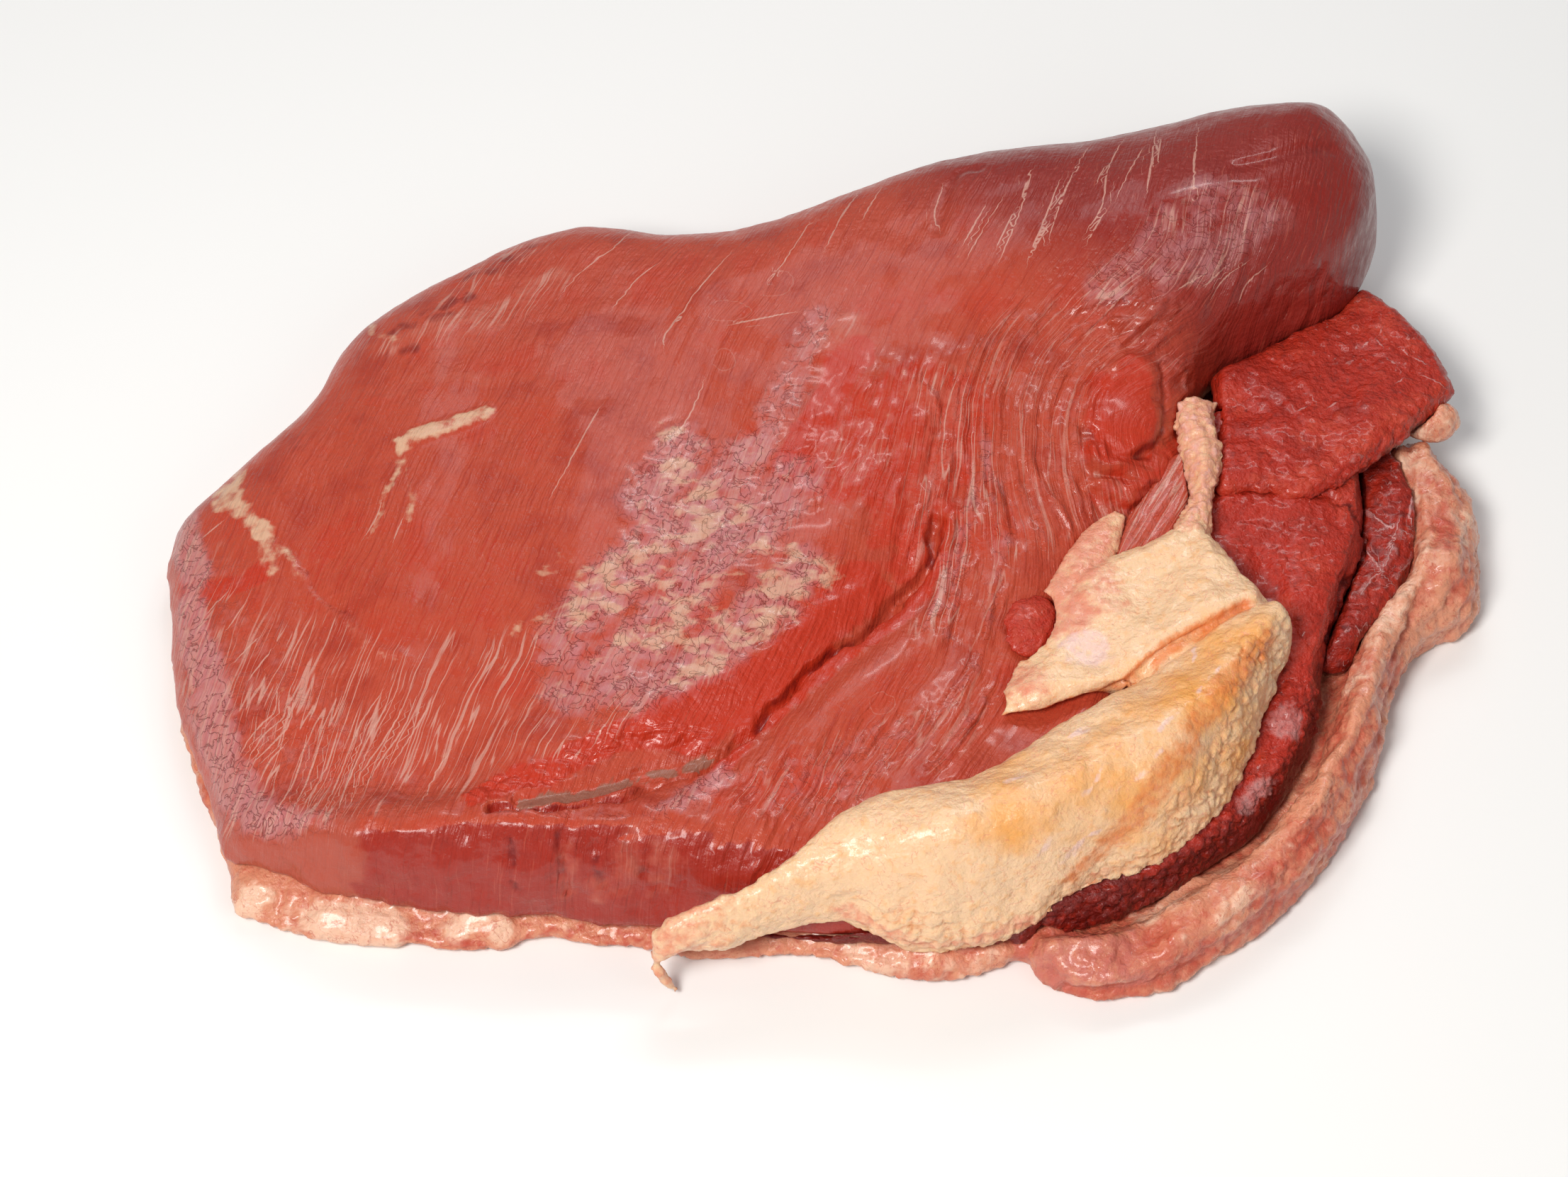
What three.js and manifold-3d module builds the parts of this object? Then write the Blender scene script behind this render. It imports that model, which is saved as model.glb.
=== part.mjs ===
// Raw beef brisket: one whole joint of meat lying on its fat side, in millimetres, +Z up.
// Left to right: the thin end of the flat muscle, its domed middle, and the thick roll at the back right
// with the loose flaps, the wedge of seam fat and the folded rim of the fat cap in front of it.
import * as THREE from 'three';
import { mergeVertices } from 'three/addons/utils/BufferGeometryUtils.js';
import Module from 'manifold-3d';

const GAP = 0.55; // clear gap kept between two pieces that touch
const LIP = 1.6; // half the thickness left at the edge of a sheet
const CAP_TOP = 12; // top of the fat cap under the lean
const RIM_TOP = 30; // top of the folded rim at the right
const DOME_TOP = 58; // the lean over its middle
const ROLL_TOP = 95; // crest of the thick roll
const FURROW_FLOOR = 41; // bottom of the long furrow
const BROW_TOP = 52; // upper edge of the cut face along the front
const WEDGE_TOP = 70; // crest of the wedge of seam fat
const FLAP_THICKNESS = 13;

const wasm = await Module();
wasm.setup();

/** A smooth line through points [x, y, z]. */
function lineThrough(points) {
  return new THREE.CatmullRomCurve3(points.map((p) => new THREE.Vector3(...p)), false, 'centripetal');
}

/** 0 on an edge, rising as a quarter circle to 1 at `radius` inside it. */
function shoulder(distance, radius) {
  if (radius === 0) {
    return 1;
  }
  const t = Math.min(Math.max(distance / radius, 0), 1);
  return Math.sqrt(1 - (1 - t) ** 2);
}

/** How far a place in plan lies from a chain of points. */
function planDistance(points, place) {
  let nearest = Infinity;
  for (let k = 1; k < points.length; k += 1) {
    const from = points[k - 1];
    const alongX = points[k].x - from.x;
    const alongY = points[k].y - from.y;
    const passed = ((place.x - from.x) * alongX + (place.y - from.y) * alongY) / (alongX ** 2 + alongY ** 2);
    const t = THREE.MathUtils.clamp(passed, 0, 1);
    nearest = Math.min(nearest, Math.hypot(from.x + t * alongX - place.x, from.y + t * alongY - place.y));
  }
  return nearest;
}

/** Moves evenly spread steps closer together near both ends. */
function crowded(t, amount) {
  return t - (amount * Math.sin(2 * Math.PI * t)) / (2 * Math.PI);
}

/** The point of a four-sided sheet stretched between its edge lines. */
function stretchedPoint(lines, u, v) {
  const front = lines.front.getPointAt(u);
  const back = lines.back.getPointAt(u);
  const left = lines.left.getPointAt(v);
  const right = lines.right.getPointAt(v);
  const corners = lines.front.getPointAt(0).multiplyScalar((1 - u) * (1 - v))
    .addScaledVector(lines.front.getPointAt(1), u * (1 - v))
    .addScaledVector(lines.back.getPointAt(0), (1 - u) * v)
    .addScaledVector(lines.back.getPointAt(1), u * v);
  return front.multiplyScalar(1 - v).addScaledVector(back, v)
    .addScaledVector(left, 1 - u).addScaledVector(right, u)
    .sub(corners);
}

/**
 * A closed sheet of meat or fat: edge lines in plan, a height over them and a height under them.
 * `rounding` and `undercut` say how many times wider than high the top and the underside round off
 * at each edge.
 */
function sheet({ edges, cells, crowding = 0.5, rounding, undercut, top, underside }) {
  const lines = Object.fromEntries(
    Object.entries(edges).map(([side, points]) => [side, lineThrough(points)]),
  );
  const sides = Object.entries(lines).map(([side, line]) => ({ side, points: line.getSpacedPoints(90) }));
  const box = new THREE.BoxGeometry(1, 1, 1, cells[0], cells[1], 1);
  const at = box.attributes.position;
  for (let i = 0; i < at.count; i += 1) {
    const u = crowded(at.getX(i) + 0.5, crowding);
    const v = crowded(at.getY(i) + 0.5, crowding);
    const isTop = at.getZ(i) > 0;
    const mid = stretchedPoint(lines, u, v);
    const height = isTop ? top(mid, u, v) : underside(mid, u, v);
    const edgeHeight = mid.z + (isTop ? LIP : -LIP);
    const widths = isTop ? rounding : undercut;
    const distances = sides.map(({ points }) => planDistance(points, mid));
    const pulls = distances.map((distance) => 1 / (distance ** 2 + 4));
    const width = sides.reduce((sum, { side }, k) => sum + widths[side] * pulls[k], 0)
      / pulls.reduce((sum, pull) => sum + pull, 0);
    const isOnEdge = Math.min(u, 1 - u, v, 1 - v) < 1e-6;
    const rise = isOnEdge ? 0 : shoulder(Math.min(...distances), width * Math.abs(height - edgeHeight));
    at.setXYZ(i, mid.x, mid.y, edgeHeight + (height - edgeHeight) * rise);
  }
  return box;
}

/** A rod bent along points [x, y, z]; `girth(t)` gives its half width and half height at t along it. */
function strand(points, girth, cells = [8, 8]) {
  const line = lineThrough(points);
  const rod = new THREE.CylinderGeometry(1, 1, 1, cells[0], cells[1]);
  const at = rod.attributes.position;
  const up = new THREE.Vector3(0, 0, 1);
  for (let i = 0; i < at.count; i += 1) {
    const t = at.getY(i) + 0.5;
    const along = line.getTangentAt(t);
    const side = new THREE.Vector3().crossVectors(along, up).normalize();
    const over = new THREE.Vector3().crossVectors(side, along);
    const [halfWidth, halfHeight] = girth(t);
    const point = line.getPointAt(t)
      .addScaledVector(side, at.getX(i) * halfWidth)
      .addScaledVector(over, at.getZ(i) * halfHeight);
    at.setXYZ(i, point.x, point.y, point.z);
  }
  return rod;
}

/** A rounded lump of the given half sizes, turned about the upright axis. */
function lump(centre, halfSizes, turn = 0, cells = [12, 7]) {
  return new THREE.SphereGeometry(1, cells[0], cells[1])
    .rotateX(Math.PI / 2)
    .scale(...halfSizes)
    .rotateZ(turn)
    .translate(...centre);
}

/** The geometry as one welded surface with positions only. */
function welded(geometry) {
  const bare = geometry.clone();
  bare.deleteAttribute('normal');
  bare.deleteAttribute('uv');
  return mergeVertices(bare, 1e-4);
}

/** The surface as a solid. */
function solidFrom(geometry) {
  return new wasm.Manifold(new wasm.Mesh({
    numProp: 3,
    vertProperties: geometry.attributes.position.array,
    triVerts: Uint32Array.from(geometry.index.array),
  }));
}

/** The surface pushed outwards by the gap, to cut its neighbours with. */
function swollen(geometry) {
  const grown = geometry.clone();
  grown.computeVertexNormals();
  const at = grown.attributes.position;
  const normal = grown.attributes.normal;
  for (let i = 0; i < at.count; i += 1) {
    at.setXYZ(
      i,
      at.getX(i) + normal.getX(i) * GAP,
      at.getY(i) + normal.getY(i) * GAP,
      at.getZ(i) + normal.getZ(i) * GAP,
    );
  }
  grown.deleteAttribute('normal');
  return grown;
}

/** One body of meat or fat made of joined shapes, with the larger body that clears room for it. */
function bodyOf(...geometries) {
  const surfaces = geometries.map(welded);
  return {
    solid: surfaces.map(solidFrom).reduce((sum, next) => sum.add(next)),
    clearance: surfaces.map(swollen).map(solidFrom).reduce((sum, next) => sum.add(next)),
  };
}

/** The body with room cut out for the neighbours it lies against, as its one largest part. */
function fitted(body, ...neighbours) {
  const cut = neighbours.reduce((rest, neighbour) => rest.subtract(neighbour.clearance), body.solid);
  const parts = cut.decompose();
  return parts.reduce((largest, part) => (part.volume() > largest.volume() ? part : largest));
}

/** Pulls a height towards the lines laid over it, each with its own reach. */
function drapedHeight(x, y, height, laidLines) {
  let result = height;
  for (const { points, reach } of laidLines) {
    let nearest = Infinity;
    let lineHeight = 0;
    for (const point of points) {
      const distance = Math.hypot(point.x - x, point.y - y);
      if (distance < nearest) {
        nearest = distance;
        lineHeight = point.z;
      }
    }
    result += (lineHeight - result) * Math.exp(-((nearest / reach) ** 2));
  }
  return result;
}

/** Height of the lean between named places along the piece. */
function alongHeight(x, stations) {
  const last = stations.length - 1;
  if (x <= stations[0][0]) {
    return stations[0][1];
  }
  if (x >= stations[last][0]) {
    return stations[last][1];
  }
  const next = stations.findIndex(([place]) => place > x);
  const [fromX, fromHeight] = stations[next - 1];
  const [toX, toHeight] = stations[next];
  return THREE.MathUtils.lerp(fromHeight, toHeight, THREE.MathUtils.smoothstep(x, fromX, toX));
}

/** The layer of fat everything lies on, with its wavy front edge and its folded rim at the right. */
function fatCap() {
  const slab = sheet({
    edges: {
      front: [[-205, -143, 4], [-179, -152, 4], [-137, -157, 4], [-120, -160, 4], [-104, -154, 4],
        [-63, -157, 4], [-36, -162, 4], [-5, -159, 4], [20, -168, 4], [50, -169, 4], [62, -163, 4],
        [90, -160, 4]],
      right: [[90, -160, 4], [150, -141, 4], [186, -94, 4], [203, -54, 4], [214, -33, 4], [233, 4, 4],
        [212, 78, 5], [186, 140, 6]],
      back: [[-230, 31, 5], [-188, 68, 5], [-150, 110, 5], [-92, 138, 6], [-17, 136, 6], [51, 155, 6],
        [131, 162, 6], [186, 140, 6]],
      left: [[-205, -143, 4], [-213, -108, 4], [-224, -84, 4], [-233, -50, 5], [-236, -20, 5],
        [-238, 6, 5], [-230, 31, 5]],
    },
    cells: [24, 9],
    crowding: 0.4,
    rounding: { left: 1.1, right: 1.1, front: 1, back: 1.4 },
    undercut: { left: 0.8, right: 0.8, front: 0.8, back: 0.8 },
    top: (mid) => CAP_TOP + 0.8 * Math.sin(mid.x / 17) * Math.cos(mid.y / 23),
    underside: () => 0,
  });
  const rim = sheet({
    edges: {
      front: [[70, -160, 3], [83, -175, 3], [108, -176, 3], [145, -155, 4], [175, -128, 4], [194, -92, 4],
        [206, -58, 5], [217, -34, 6], [238, -22, 7], [242, 0, 8], [240, 28, 9], [223, 54, 9]],
      right: [[223, 54, 9], [216, 50, 11], [206, 44, 13]],
      back: [[72, -150, 9], [96, -158, 10], [134, -139, 12], [164, -111, 13], [180, -78, 13], [191, -44, 13],
        [203, -26, 13], [214, -8, 13], [213, 20, 13], [206, 44, 13]],
      left: [[70, -160, 3], [70, -155, 6], [72, -150, 9]],
    },
    cells: [36, 6],
    crowding: 0.35,
    rounding: { left: 0.8, right: 0.8, front: 0.8, back: 0.5 },
    undercut: { left: 0.4, right: 0.4, front: 0.4, back: 0.1 },
    top: (mid, u) => {
      const rise = THREE.MathUtils.lerp(15, RIM_TOP, THREE.MathUtils.smoothstep(u, 0, 0.45));
      return rise + 1.6 * Math.sin(u * 34) + 1.1 * Math.sin(u * 71 + 1);
    },
    underside: () => 0,
  });
  return bodyOf(slab, rim);
}

/** The main lean: domed flat, thick roll at the back right, long furrow, and the cut front face. */
function flatMuscle() {
  const stations = [[-240, 26], [-190, 38], [-140, 47], [-80, 54], [0, DOME_TOP], [80, DOME_TOP + 4],
    [200, 60]];
  const laidLines = [
    { reach: 46, points: [[15, 150, 62], [64, 154, 72], [112, 158, 85], [160, 160, 92], [200, 150, 90]] },
    { reach: 44, points: [[15, 92, 63], [64, 100, 73], [103, 108, 84], [141, 112, 93], [168, 112, ROLL_TOP],
      [190, 108, 93]] },
    { reach: 27, points: [[66, -100, 43], [86, -50, 40], [108, -10, 42], [126, 8, 44]] },
    { reach: 25, points: [[94, 36, 61], [120, 32, 58]] },
    { reach: 19, points: [[74, 0, 52], [46, -66, 48], [12, -112, 47], [-22, -132, 48]] },
    { reach: 17, points: [[46, 52, 64], [36, 0, 57], [16, -34, 54], [-22, -62, 53], [-52, -88, 51],
      [-92, -106, 50]] },
    { reach: 13, points: [[62, 52, 60], [54, 24, 54], [42, -20, 47], [10, -55, 43],
      [-28, -90, FURROW_FLOOR], [-78, -115, 43], [-108, -125, 46]] },
    { reach: 13, points: [[-200, -120, 32], [-165, -131, 46], [-132, -133, BROW_TOP - 2],
      [-85, -134, BROW_TOP], [-45, -134, BROW_TOP]] },
  ].map(({ reach, points }) => ({ reach, points: lineThrough(points).getSpacedPoints(40) }));
  return bodyOf(sheet({
    edges: {
      front: [[-207, -129, 13], [-183, -137, 13], [-149, -147, 13], [-102, -152, 13], [-39, -155, 13],
        [10, -158, 13], [50, -156, 13]],
      right: [[50, -156, 13], [92, -120, 18], [112, -60, 24], [125, 0, 30], [136, 44, 32], [148, 70, 34],
        [172, 84, 36], [198, 100, 38], [213, 128, 42], [212, 154, 44]],
      back: [[-238, 12, 13], [-213, 42, 14], [-191, 66, 15], [-180, 94, 17], [-150, 119, 20],
        [-112, 141, 22], [-88, 148, 23], [-60, 142, 24], [-24, 142, 26], [16, 157, 30], [58, 169, 35],
        [112, 170, 40], [165, 180, 46], [198, 179, 48], [212, 154, 44]],
      left: [[-207, -129, 13], [-218, -96, 12], [-231, -60, 12], [-235, -30, 12], [-240, -6, 12],
        [-238, 12, 13]],
    },
    cells: [46, 29],
    crowding: 0.3,
    rounding: { left: 1.2, right: 0.75, front: 0.55, back: 1.2 },
    undercut: { left: 1, right: 0.8, front: 0.8, back: 0.7 },
    top: (mid) => {
      const domed = alongHeight(mid.x, stations) - 0.0005 * (mid.y - 10) ** 2;
      return drapedHeight(mid.x, mid.y, domed, laidLines);
    },
    underside: () => CAP_TOP - 4,
  }));
}

/** The second muscle: the loose lobe right of the fat and the dark band under the wedge to the front. */
function pointMuscle() {
  return bodyOf(sheet({
    edges: {
      front: [[-25, -156, 12], [-24, -150, 13], [-20, -143, 14]],
      right: [[-25, -156, 12], [30, -160, 13], [84, -156, 14], [128, -137, 16], [160, -108, 18],
        [176, -76, 21], [180, -46, 25], [193, -16, 28], [199, 16, 28], [196, 54, 26]],
      back: [[140, 52, 26], [168, 58, 26], [196, 54, 26]],
      left: [[-20, -143, 14], [40, -120, 22], [90, -90, 28], [112, -50, 30], [126, 0, 28], [140, 52, 26]],
    },
    cells: [9, 26],
    crowding: 0.4,
    rounding: { left: 0.5, right: 0.7, front: 0.7, back: 0.6 },
    undercut: { left: 0.3, right: 0.5, front: 0.3, back: 0.3 },
    top: (mid, u, v) => {
      const band = THREE.MathUtils.lerp(20, 34, THREE.MathUtils.smoothstep(v, 0, 0.55));
      return band + 8 * THREE.MathUtils.smoothstep(v, 0.55, 0.78) + 1.2 * Math.sin(v * 40) * Math.sin(u * 5);
    },
    underside: () => CAP_TOP - 4,
  }));
}

/** The thin muscle with its web of membrane, seen between the loose lobe and the rim. */
function innerMuscle() {
  return bodyOf(sheet({
    edges: {
      front: [[178, -52, 20], [186, -52, 20], [192, -46, 18]],
      right: [[192, -46, 18], [208, -24, 20], [219, 2, 20], [219, 34, 20], [212, 56, 20]],
      back: [[186, 60, 24], [199, 60, 22], [212, 56, 20]],
      left: [[178, -52, 20], [188, -20, 24], [192, 20, 24], [186, 60, 24]],
    },
    cells: [6, 11],
    crowding: 0.3,
    rounding: { left: 0.5, right: 0.9, front: 0.6, back: 0.6 },
    undercut: { left: 0.2, right: 0.5, front: 0.3, back: 0.3 },
    top: (mid, u, v) => 29 + 1.2 * Math.sin(v * 9 + u * 3),
    underside: () => CAP_TOP - 2,
  }));
}

/** The loose dark flap at the right, torn along its front edge. */
function topFlap() {
  return bodyOf(sheet({
    edges: {
      front: [[142, 6, 41], [158, 7, 41], [182, 7, 42], [200, 23, 41], [218, 41, 38], [236, 62, 34]],
      right: [[236, 62, 34], [230, 82, 34], [220, 99, 32], [207, 113, 31]],
      back: [[146, 66, 38], [164, 78, 36], [179, 92, 33], [190, 106, 31], [207, 113, 31]],
      left: [[142, 6, 41], [141, 18, 41], [145, 35, 40], [146, 66, 38]],
    },
    cells: [14, 11],
    rounding: { left: 1.1, right: 1.3, front: 1.1, back: 1.1 },
    undercut: { left: 0.8, right: 1, front: 0.8, back: 0.9 },
    top: (mid, u, v) => mid.z + 6.5 + 1.5 * Math.sin(u * 11 + 1) * Math.sin(v * 8),
    underside: (mid) => mid.z + 6.5 - FLAP_THICKNESS,
  }));
}

/** The seam fat: the thick wedge and its tail, the lobe above the cleft, and thin strands. */
function seamFat() {
  const wedge = sheet({
    edges: {
      front: [[-56, -171, 27], [-20, -166, 28], [5, -158, 32], [29, -166, 24], [58, -163, 22],
        [95, -147, 25], [119, -137, 28], [142, -113, 34], [157, -80, 40], [166, -58, 45]],
      right: [[166, -58, 45], [164, -52, 48], [158, -47, 51]],
      back: [[-57, -167, 30], [-20, -150, 45], [4, -132, 50], [22, -120, 52], [46, -119, 53], [80, -97, 54],
        [118, -74, 54], [143, -54, 53], [158, -47, 51]],
      left: [[-56, -171, 27], [-57, -169, 29], [-57, -167, 30]],
    },
    cells: [27, 12],
    crowding: 0.4,
    rounding: { left: 0.5, right: 0.6, front: 0.6, back: 0.8 },
    undercut: { left: 0.4, right: 0.6, front: 0.6, back: 0.5 },
    top: (mid, u, v) => {
      const fading = 1 - 0.25 * THREE.MathUtils.smoothstep(u, 0.8, 1);
      const crest = THREE.MathUtils.lerp(mid.z + 7, WEDGE_TOP, THREE.MathUtils.smoothstep(u, 0, 0.5) * fading);
      const arched = (crest - mid.z - 5) * Math.sin(Math.PI * v ** 0.85);
      return mid.z + 5 + arched + 1.2 * Math.sin(u * 31 + v * 6);
    },
    underside: (mid, u) => mid.z - 5 - 11 * THREE.MathUtils.smoothstep(u, 0, 0.3),
  });
  const lobe = sheet({
    edges: {
      front: [[57, -93, 44], [86, -87, 50], [114, -76, 52], [136, -63, 52], [157, -50, 50]],
      right: [[157, -50, 50], [155, -42, 50], [147, -33, 50]],
      back: [[65, -63, 42], [80, -38, 44], [96, -26, 46], [112, -22, 48], [127, -13, 50], [139, -16, 51],
        [147, -33, 50]],
      left: [[57, -93, 44], [61, -79, 43], [65, -63, 42]],
    },
    cells: [12, 8],
    crowding: 0.35,
    rounding: { left: 0.8, right: 0.8, front: 1, back: 1 },
    undercut: { left: 0.2, right: 0.2, front: 0.2, back: 0.2 },
    top: (mid, u, v) => {
      const cobbles = 1.4 * Math.sin(u * 13) * Math.sin(v * 7);
      return THREE.MathUtils.lerp(50, 66, u) - 6 * v + cobbles;
    },
    underside: () => 36,
  });
  const strip = strand(
    [[130, -22, 51], [135, -5, 50], [138, 12, 49], [137.5, 29, 49], [136.5, 46, 48]],
    (t) => {
      const head = THREE.MathUtils.smoothstep(t, 0.5, 0.95);
      return [5.2 + 1.3 * Math.sin(t * 13) + 3.6 * head, 5 + 0.8 * Math.sin(t * 17)];
    },
    [8, 10],
  );
  const margin = strand(
    [[84, -42, 46], [92, -27, 46.5], [100, -13, 46], [106, -2, 45.5]],
    (t) => [9.5 - 2 * t - 3 * t ** 4, 4.6 - 1.6 * t],
    [8, 6],
  );
  const tail = strand(
    [[-40, -165, 32], [-52, -169, 27], [-57, -171, 20], [-54, -172.5, 11], [-50, -173, 3]],
    (t) => [5.2 - 3.8 * t, 5 - 3.6 * t],
    [8, 8],
  );
  return bodyOf(wedge, lobe, strip, margin, tail);
}

/** The small round muscle set into the left edge of the fat lobe. */
function smallMuscle() {
  return bodyOf(lump([71.5, -50.5, 45], [12.5, 15.5, 6], -0.35));
}

/** The thin pinkish tongue of sheath between the fat strip and the folded meat. */
function tongueMuscle() {
  return bodyOf(strand(
    [[133, 21, 47], [125, 4, 46.5], [117, -11, 46], [108, -26, 45]],
    (t) => [5 + 5 * Math.sin(Math.PI * t), 4.2 - t],
    [8, 7],
  ));
}

/** The knob of fat at the outer corner of the flap. */
function fatNub() {
  return bodyOf(lump([227, 51, 31], [11, 8.5, 7.5], 0.25, [12, 8]));
}

const looks = {
  fat_cap: { color: '#d9a283', roughness: 0.45 },
  flat_muscle: { color: '#b4493c', roughness: 0.35 },
  point_muscle: { color: '#9c2f28', roughness: 0.5 },
  inner_muscle: { color: '#a8392f', roughness: 0.45 },
  top_flap: { color: '#a6342c', roughness: 0.55 },
  small_muscle: { color: '#b03a30', roughness: 0.45 },
  tongue_muscle: { color: '#c0645a', roughness: 0.35 },
  seam_fat: { color: '#edc78e', roughness: 0.4 },
  fat_nub: { color: '#eab594', roughness: 0.4 },
};

/** The named mesh of one fitted body. */
function meshOf(name, solid) {
  const { numProp, vertProperties, triVerts } = solid.getMesh();
  const geometry = new THREE.BufferGeometry();
  const positions = new THREE.InterleavedBuffer(vertProperties, numProp);
  geometry.setAttribute('position', new THREE.InterleavedBufferAttribute(positions, 3, 0));
  geometry.setIndex(new THREE.BufferAttribute(triVerts, 1));
  const flat = geometry.toNonIndexed();
  flat.computeVertexNormals();
  const mesh = new THREE.Mesh(flat, new THREE.MeshStandardMaterial({ ...looks[name], metalness: 0 }));
  mesh.name = name;
  return mesh;
}

const cap = fatCap();
const flat = flatMuscle();
const point = pointMuscle();
const inner = innerMuscle();
const flap = topFlap();
const small = smallMuscle();
const tongue = tongueMuscle();
const nub = fatNub();
const seam = seamFat();

const brisket = new THREE.Group();
brisket.name = 'beef_brisket';
brisket.add(
  meshOf('fat_cap', fitted(cap)),
  meshOf('flat_muscle', fitted(flat, cap)),
  meshOf('point_muscle', fitted(point, cap, flat)),
  meshOf('inner_muscle', fitted(inner, cap, flat, point)),
  meshOf('top_flap', fitted(flap, cap, flat, point, inner)),
  meshOf('small_muscle', fitted(small, flat)),
  meshOf('tongue_muscle', fitted(tongue, flat, point, flap, seam)),
  meshOf('fat_nub', fitted(nub, cap, flat, point, inner, flap)),
  meshOf('seam_fat', fitted(seam, cap, flat, point, inner, flap, small)),
);

// The frame stands under the middle of the whole piece.
const bounds = new THREE.Box3().setFromObject(brisket);
const middle = bounds.getCenter(new THREE.Vector3());
brisket.position.set(-middle.x, -middle.y, -bounds.min.z);

export default brisket;
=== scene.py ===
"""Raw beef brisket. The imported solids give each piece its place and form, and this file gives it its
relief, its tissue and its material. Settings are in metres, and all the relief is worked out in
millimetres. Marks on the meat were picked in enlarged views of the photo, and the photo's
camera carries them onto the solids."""

import math

import bmesh
import bpy
import numpy as np
from mathutils import Euler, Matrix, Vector
from mathutils.bvhtree import BVHTree


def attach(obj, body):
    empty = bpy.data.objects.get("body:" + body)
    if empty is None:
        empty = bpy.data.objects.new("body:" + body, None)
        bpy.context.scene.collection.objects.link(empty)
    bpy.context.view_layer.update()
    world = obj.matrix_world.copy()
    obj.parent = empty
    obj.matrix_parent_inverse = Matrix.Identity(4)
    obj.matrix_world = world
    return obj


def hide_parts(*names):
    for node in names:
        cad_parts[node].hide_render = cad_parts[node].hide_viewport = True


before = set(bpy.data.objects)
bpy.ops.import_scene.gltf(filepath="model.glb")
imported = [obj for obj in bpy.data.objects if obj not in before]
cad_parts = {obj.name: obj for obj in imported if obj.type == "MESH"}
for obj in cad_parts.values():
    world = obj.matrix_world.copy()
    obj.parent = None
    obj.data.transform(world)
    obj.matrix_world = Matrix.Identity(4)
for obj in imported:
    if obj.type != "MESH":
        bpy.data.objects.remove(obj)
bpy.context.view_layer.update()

bl_info = {
    "name": "Raw beef brisket",
    "version": (1, 0, 0),
    "blender": (4, 5, 0),
    "location": "View3D > Sidebar > Brisket",
    "description": "Builds the meat and fat of a whole raw brisket around its packed solids",
    "category": "Object",
}

MM = 0.001
MEAT_IOR = 1.4
SCATTER_DEPTH = 3 * MM
COAT_ROUGHNESS = 0.12
# In millimetres: how far the rim's folds reach, and the box that holds the smooth body of the wedge.
RIM_REACH = 45
WEDGE_ABOVE = 40
WEDGE_FROM = -35
WEDGE_TO = 150
WEDGE_BEFORE = -82
WEDGE_PASSES = 170
LATTICE_SIDE = 48
LATTICE = np.random.default_rng(7).uniform(-1, 1, (LATTICE_SIDE,) * 3)

PHOTO_WIDTH = 2212
PHOTO_HEIGHT = 1661
CAMERA_PLACE = Vector((-0.01418, -0.7893, 1.1200))
CAMERA_TURN = Euler((math.radians(35), 0, 0))
CAMERA_LENS = 85
SENSOR_WIDTH = 36
FOCAL_PIXELS = CAMERA_LENS / SENSOR_WIDTH * PHOTO_WIDTH
EDGE_SEARCH = 60

# A view of the photo is its left and top pixel, and how many photo pixels one of its own covers.
PHOTO_VIEW = (0, 0, 1)
LEFT_LOBE_VIEW = (220, 600, 1 / 2.06)
TOP_LEFT_VIEW = (560, 250, 1 / 2.12)
FRONT_VIEW = (600, 850, 1 / 2.24)
THICK_END_VIEW = (1180, 130, 1 / 2.01)
MIDDLE_VIEW = (1100, 520, 1 / 2.38)
FAT_STRIP_VIEW = (900, 960, 1 / 1.96)
RIGHT_END_VIEW = (1560, 400, 1 / 2.61)
WEDGE_VIEW = (1400, 880, 1 / 2.21)
SADDLE_VIEW = (600, 700, 0.8333)
ROSETTE_VIEW = (1250, 380, 0.78125)
LOBE_VIEW = (220, 620, 0.5625)
FACE_VIEW = (280, 1000, 0.875)
FAT_VIEW = (880, 860, 1.0208)
FLAP_VIEW = (1640, 380, 0.620)
RIM_VIEW = (1380, 960, 0.75)
ROLL_VIEW = (1000, 120, 1.0)
BACK_VIEW = (380, 280, 0.8333)
FOLD_VIEW = (1380, 330, 1 / 3)


def solids_tree():
    """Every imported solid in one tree, for rays to meet."""
    corners = []
    faces = []
    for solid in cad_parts.values():
        first = len(corners)
        corners += [v.co.copy() for v in solid.data.vertices]
        faces += [[first + k for k in face.vertices] for face in solid.data.polygons]
    return BVHTree.FromPolygons(corners, faces)


def seen_place(x, y):
    """The place on the solids, in whole millimetres, that the photo's camera sees at a pixel. A pixel
    just off the outline moves to the nearest one on it."""
    for reach in range(EDGE_SEARCH):
        for turn in range(0, 360, 15):
            across = x + reach * math.cos(math.radians(turn)) - PHOTO_WIDTH / 2
            down = y + reach * math.sin(math.radians(turn)) - PHOTO_HEIGHT / 2
            ray = Vector((across, -down, -FOCAL_PIXELS)).normalized()
            ray.rotate(CAMERA_TURN)
            place = SOLIDS.ray_cast(CAMERA_PLACE, ray)[0]
            if place is not None:
                return tuple(round(c / MM) for c in place)
    raise ValueError(f"nothing is seen near {x}, {y}")


def laid(view, *lines):
    """Lines picked in a view of the photo, carried onto the solids."""
    left, top, step = view
    return [[seen_place(left + x * step, top + y * step) for x, y in line] for line in lines]


SOLIDS = solids_tree()

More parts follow.
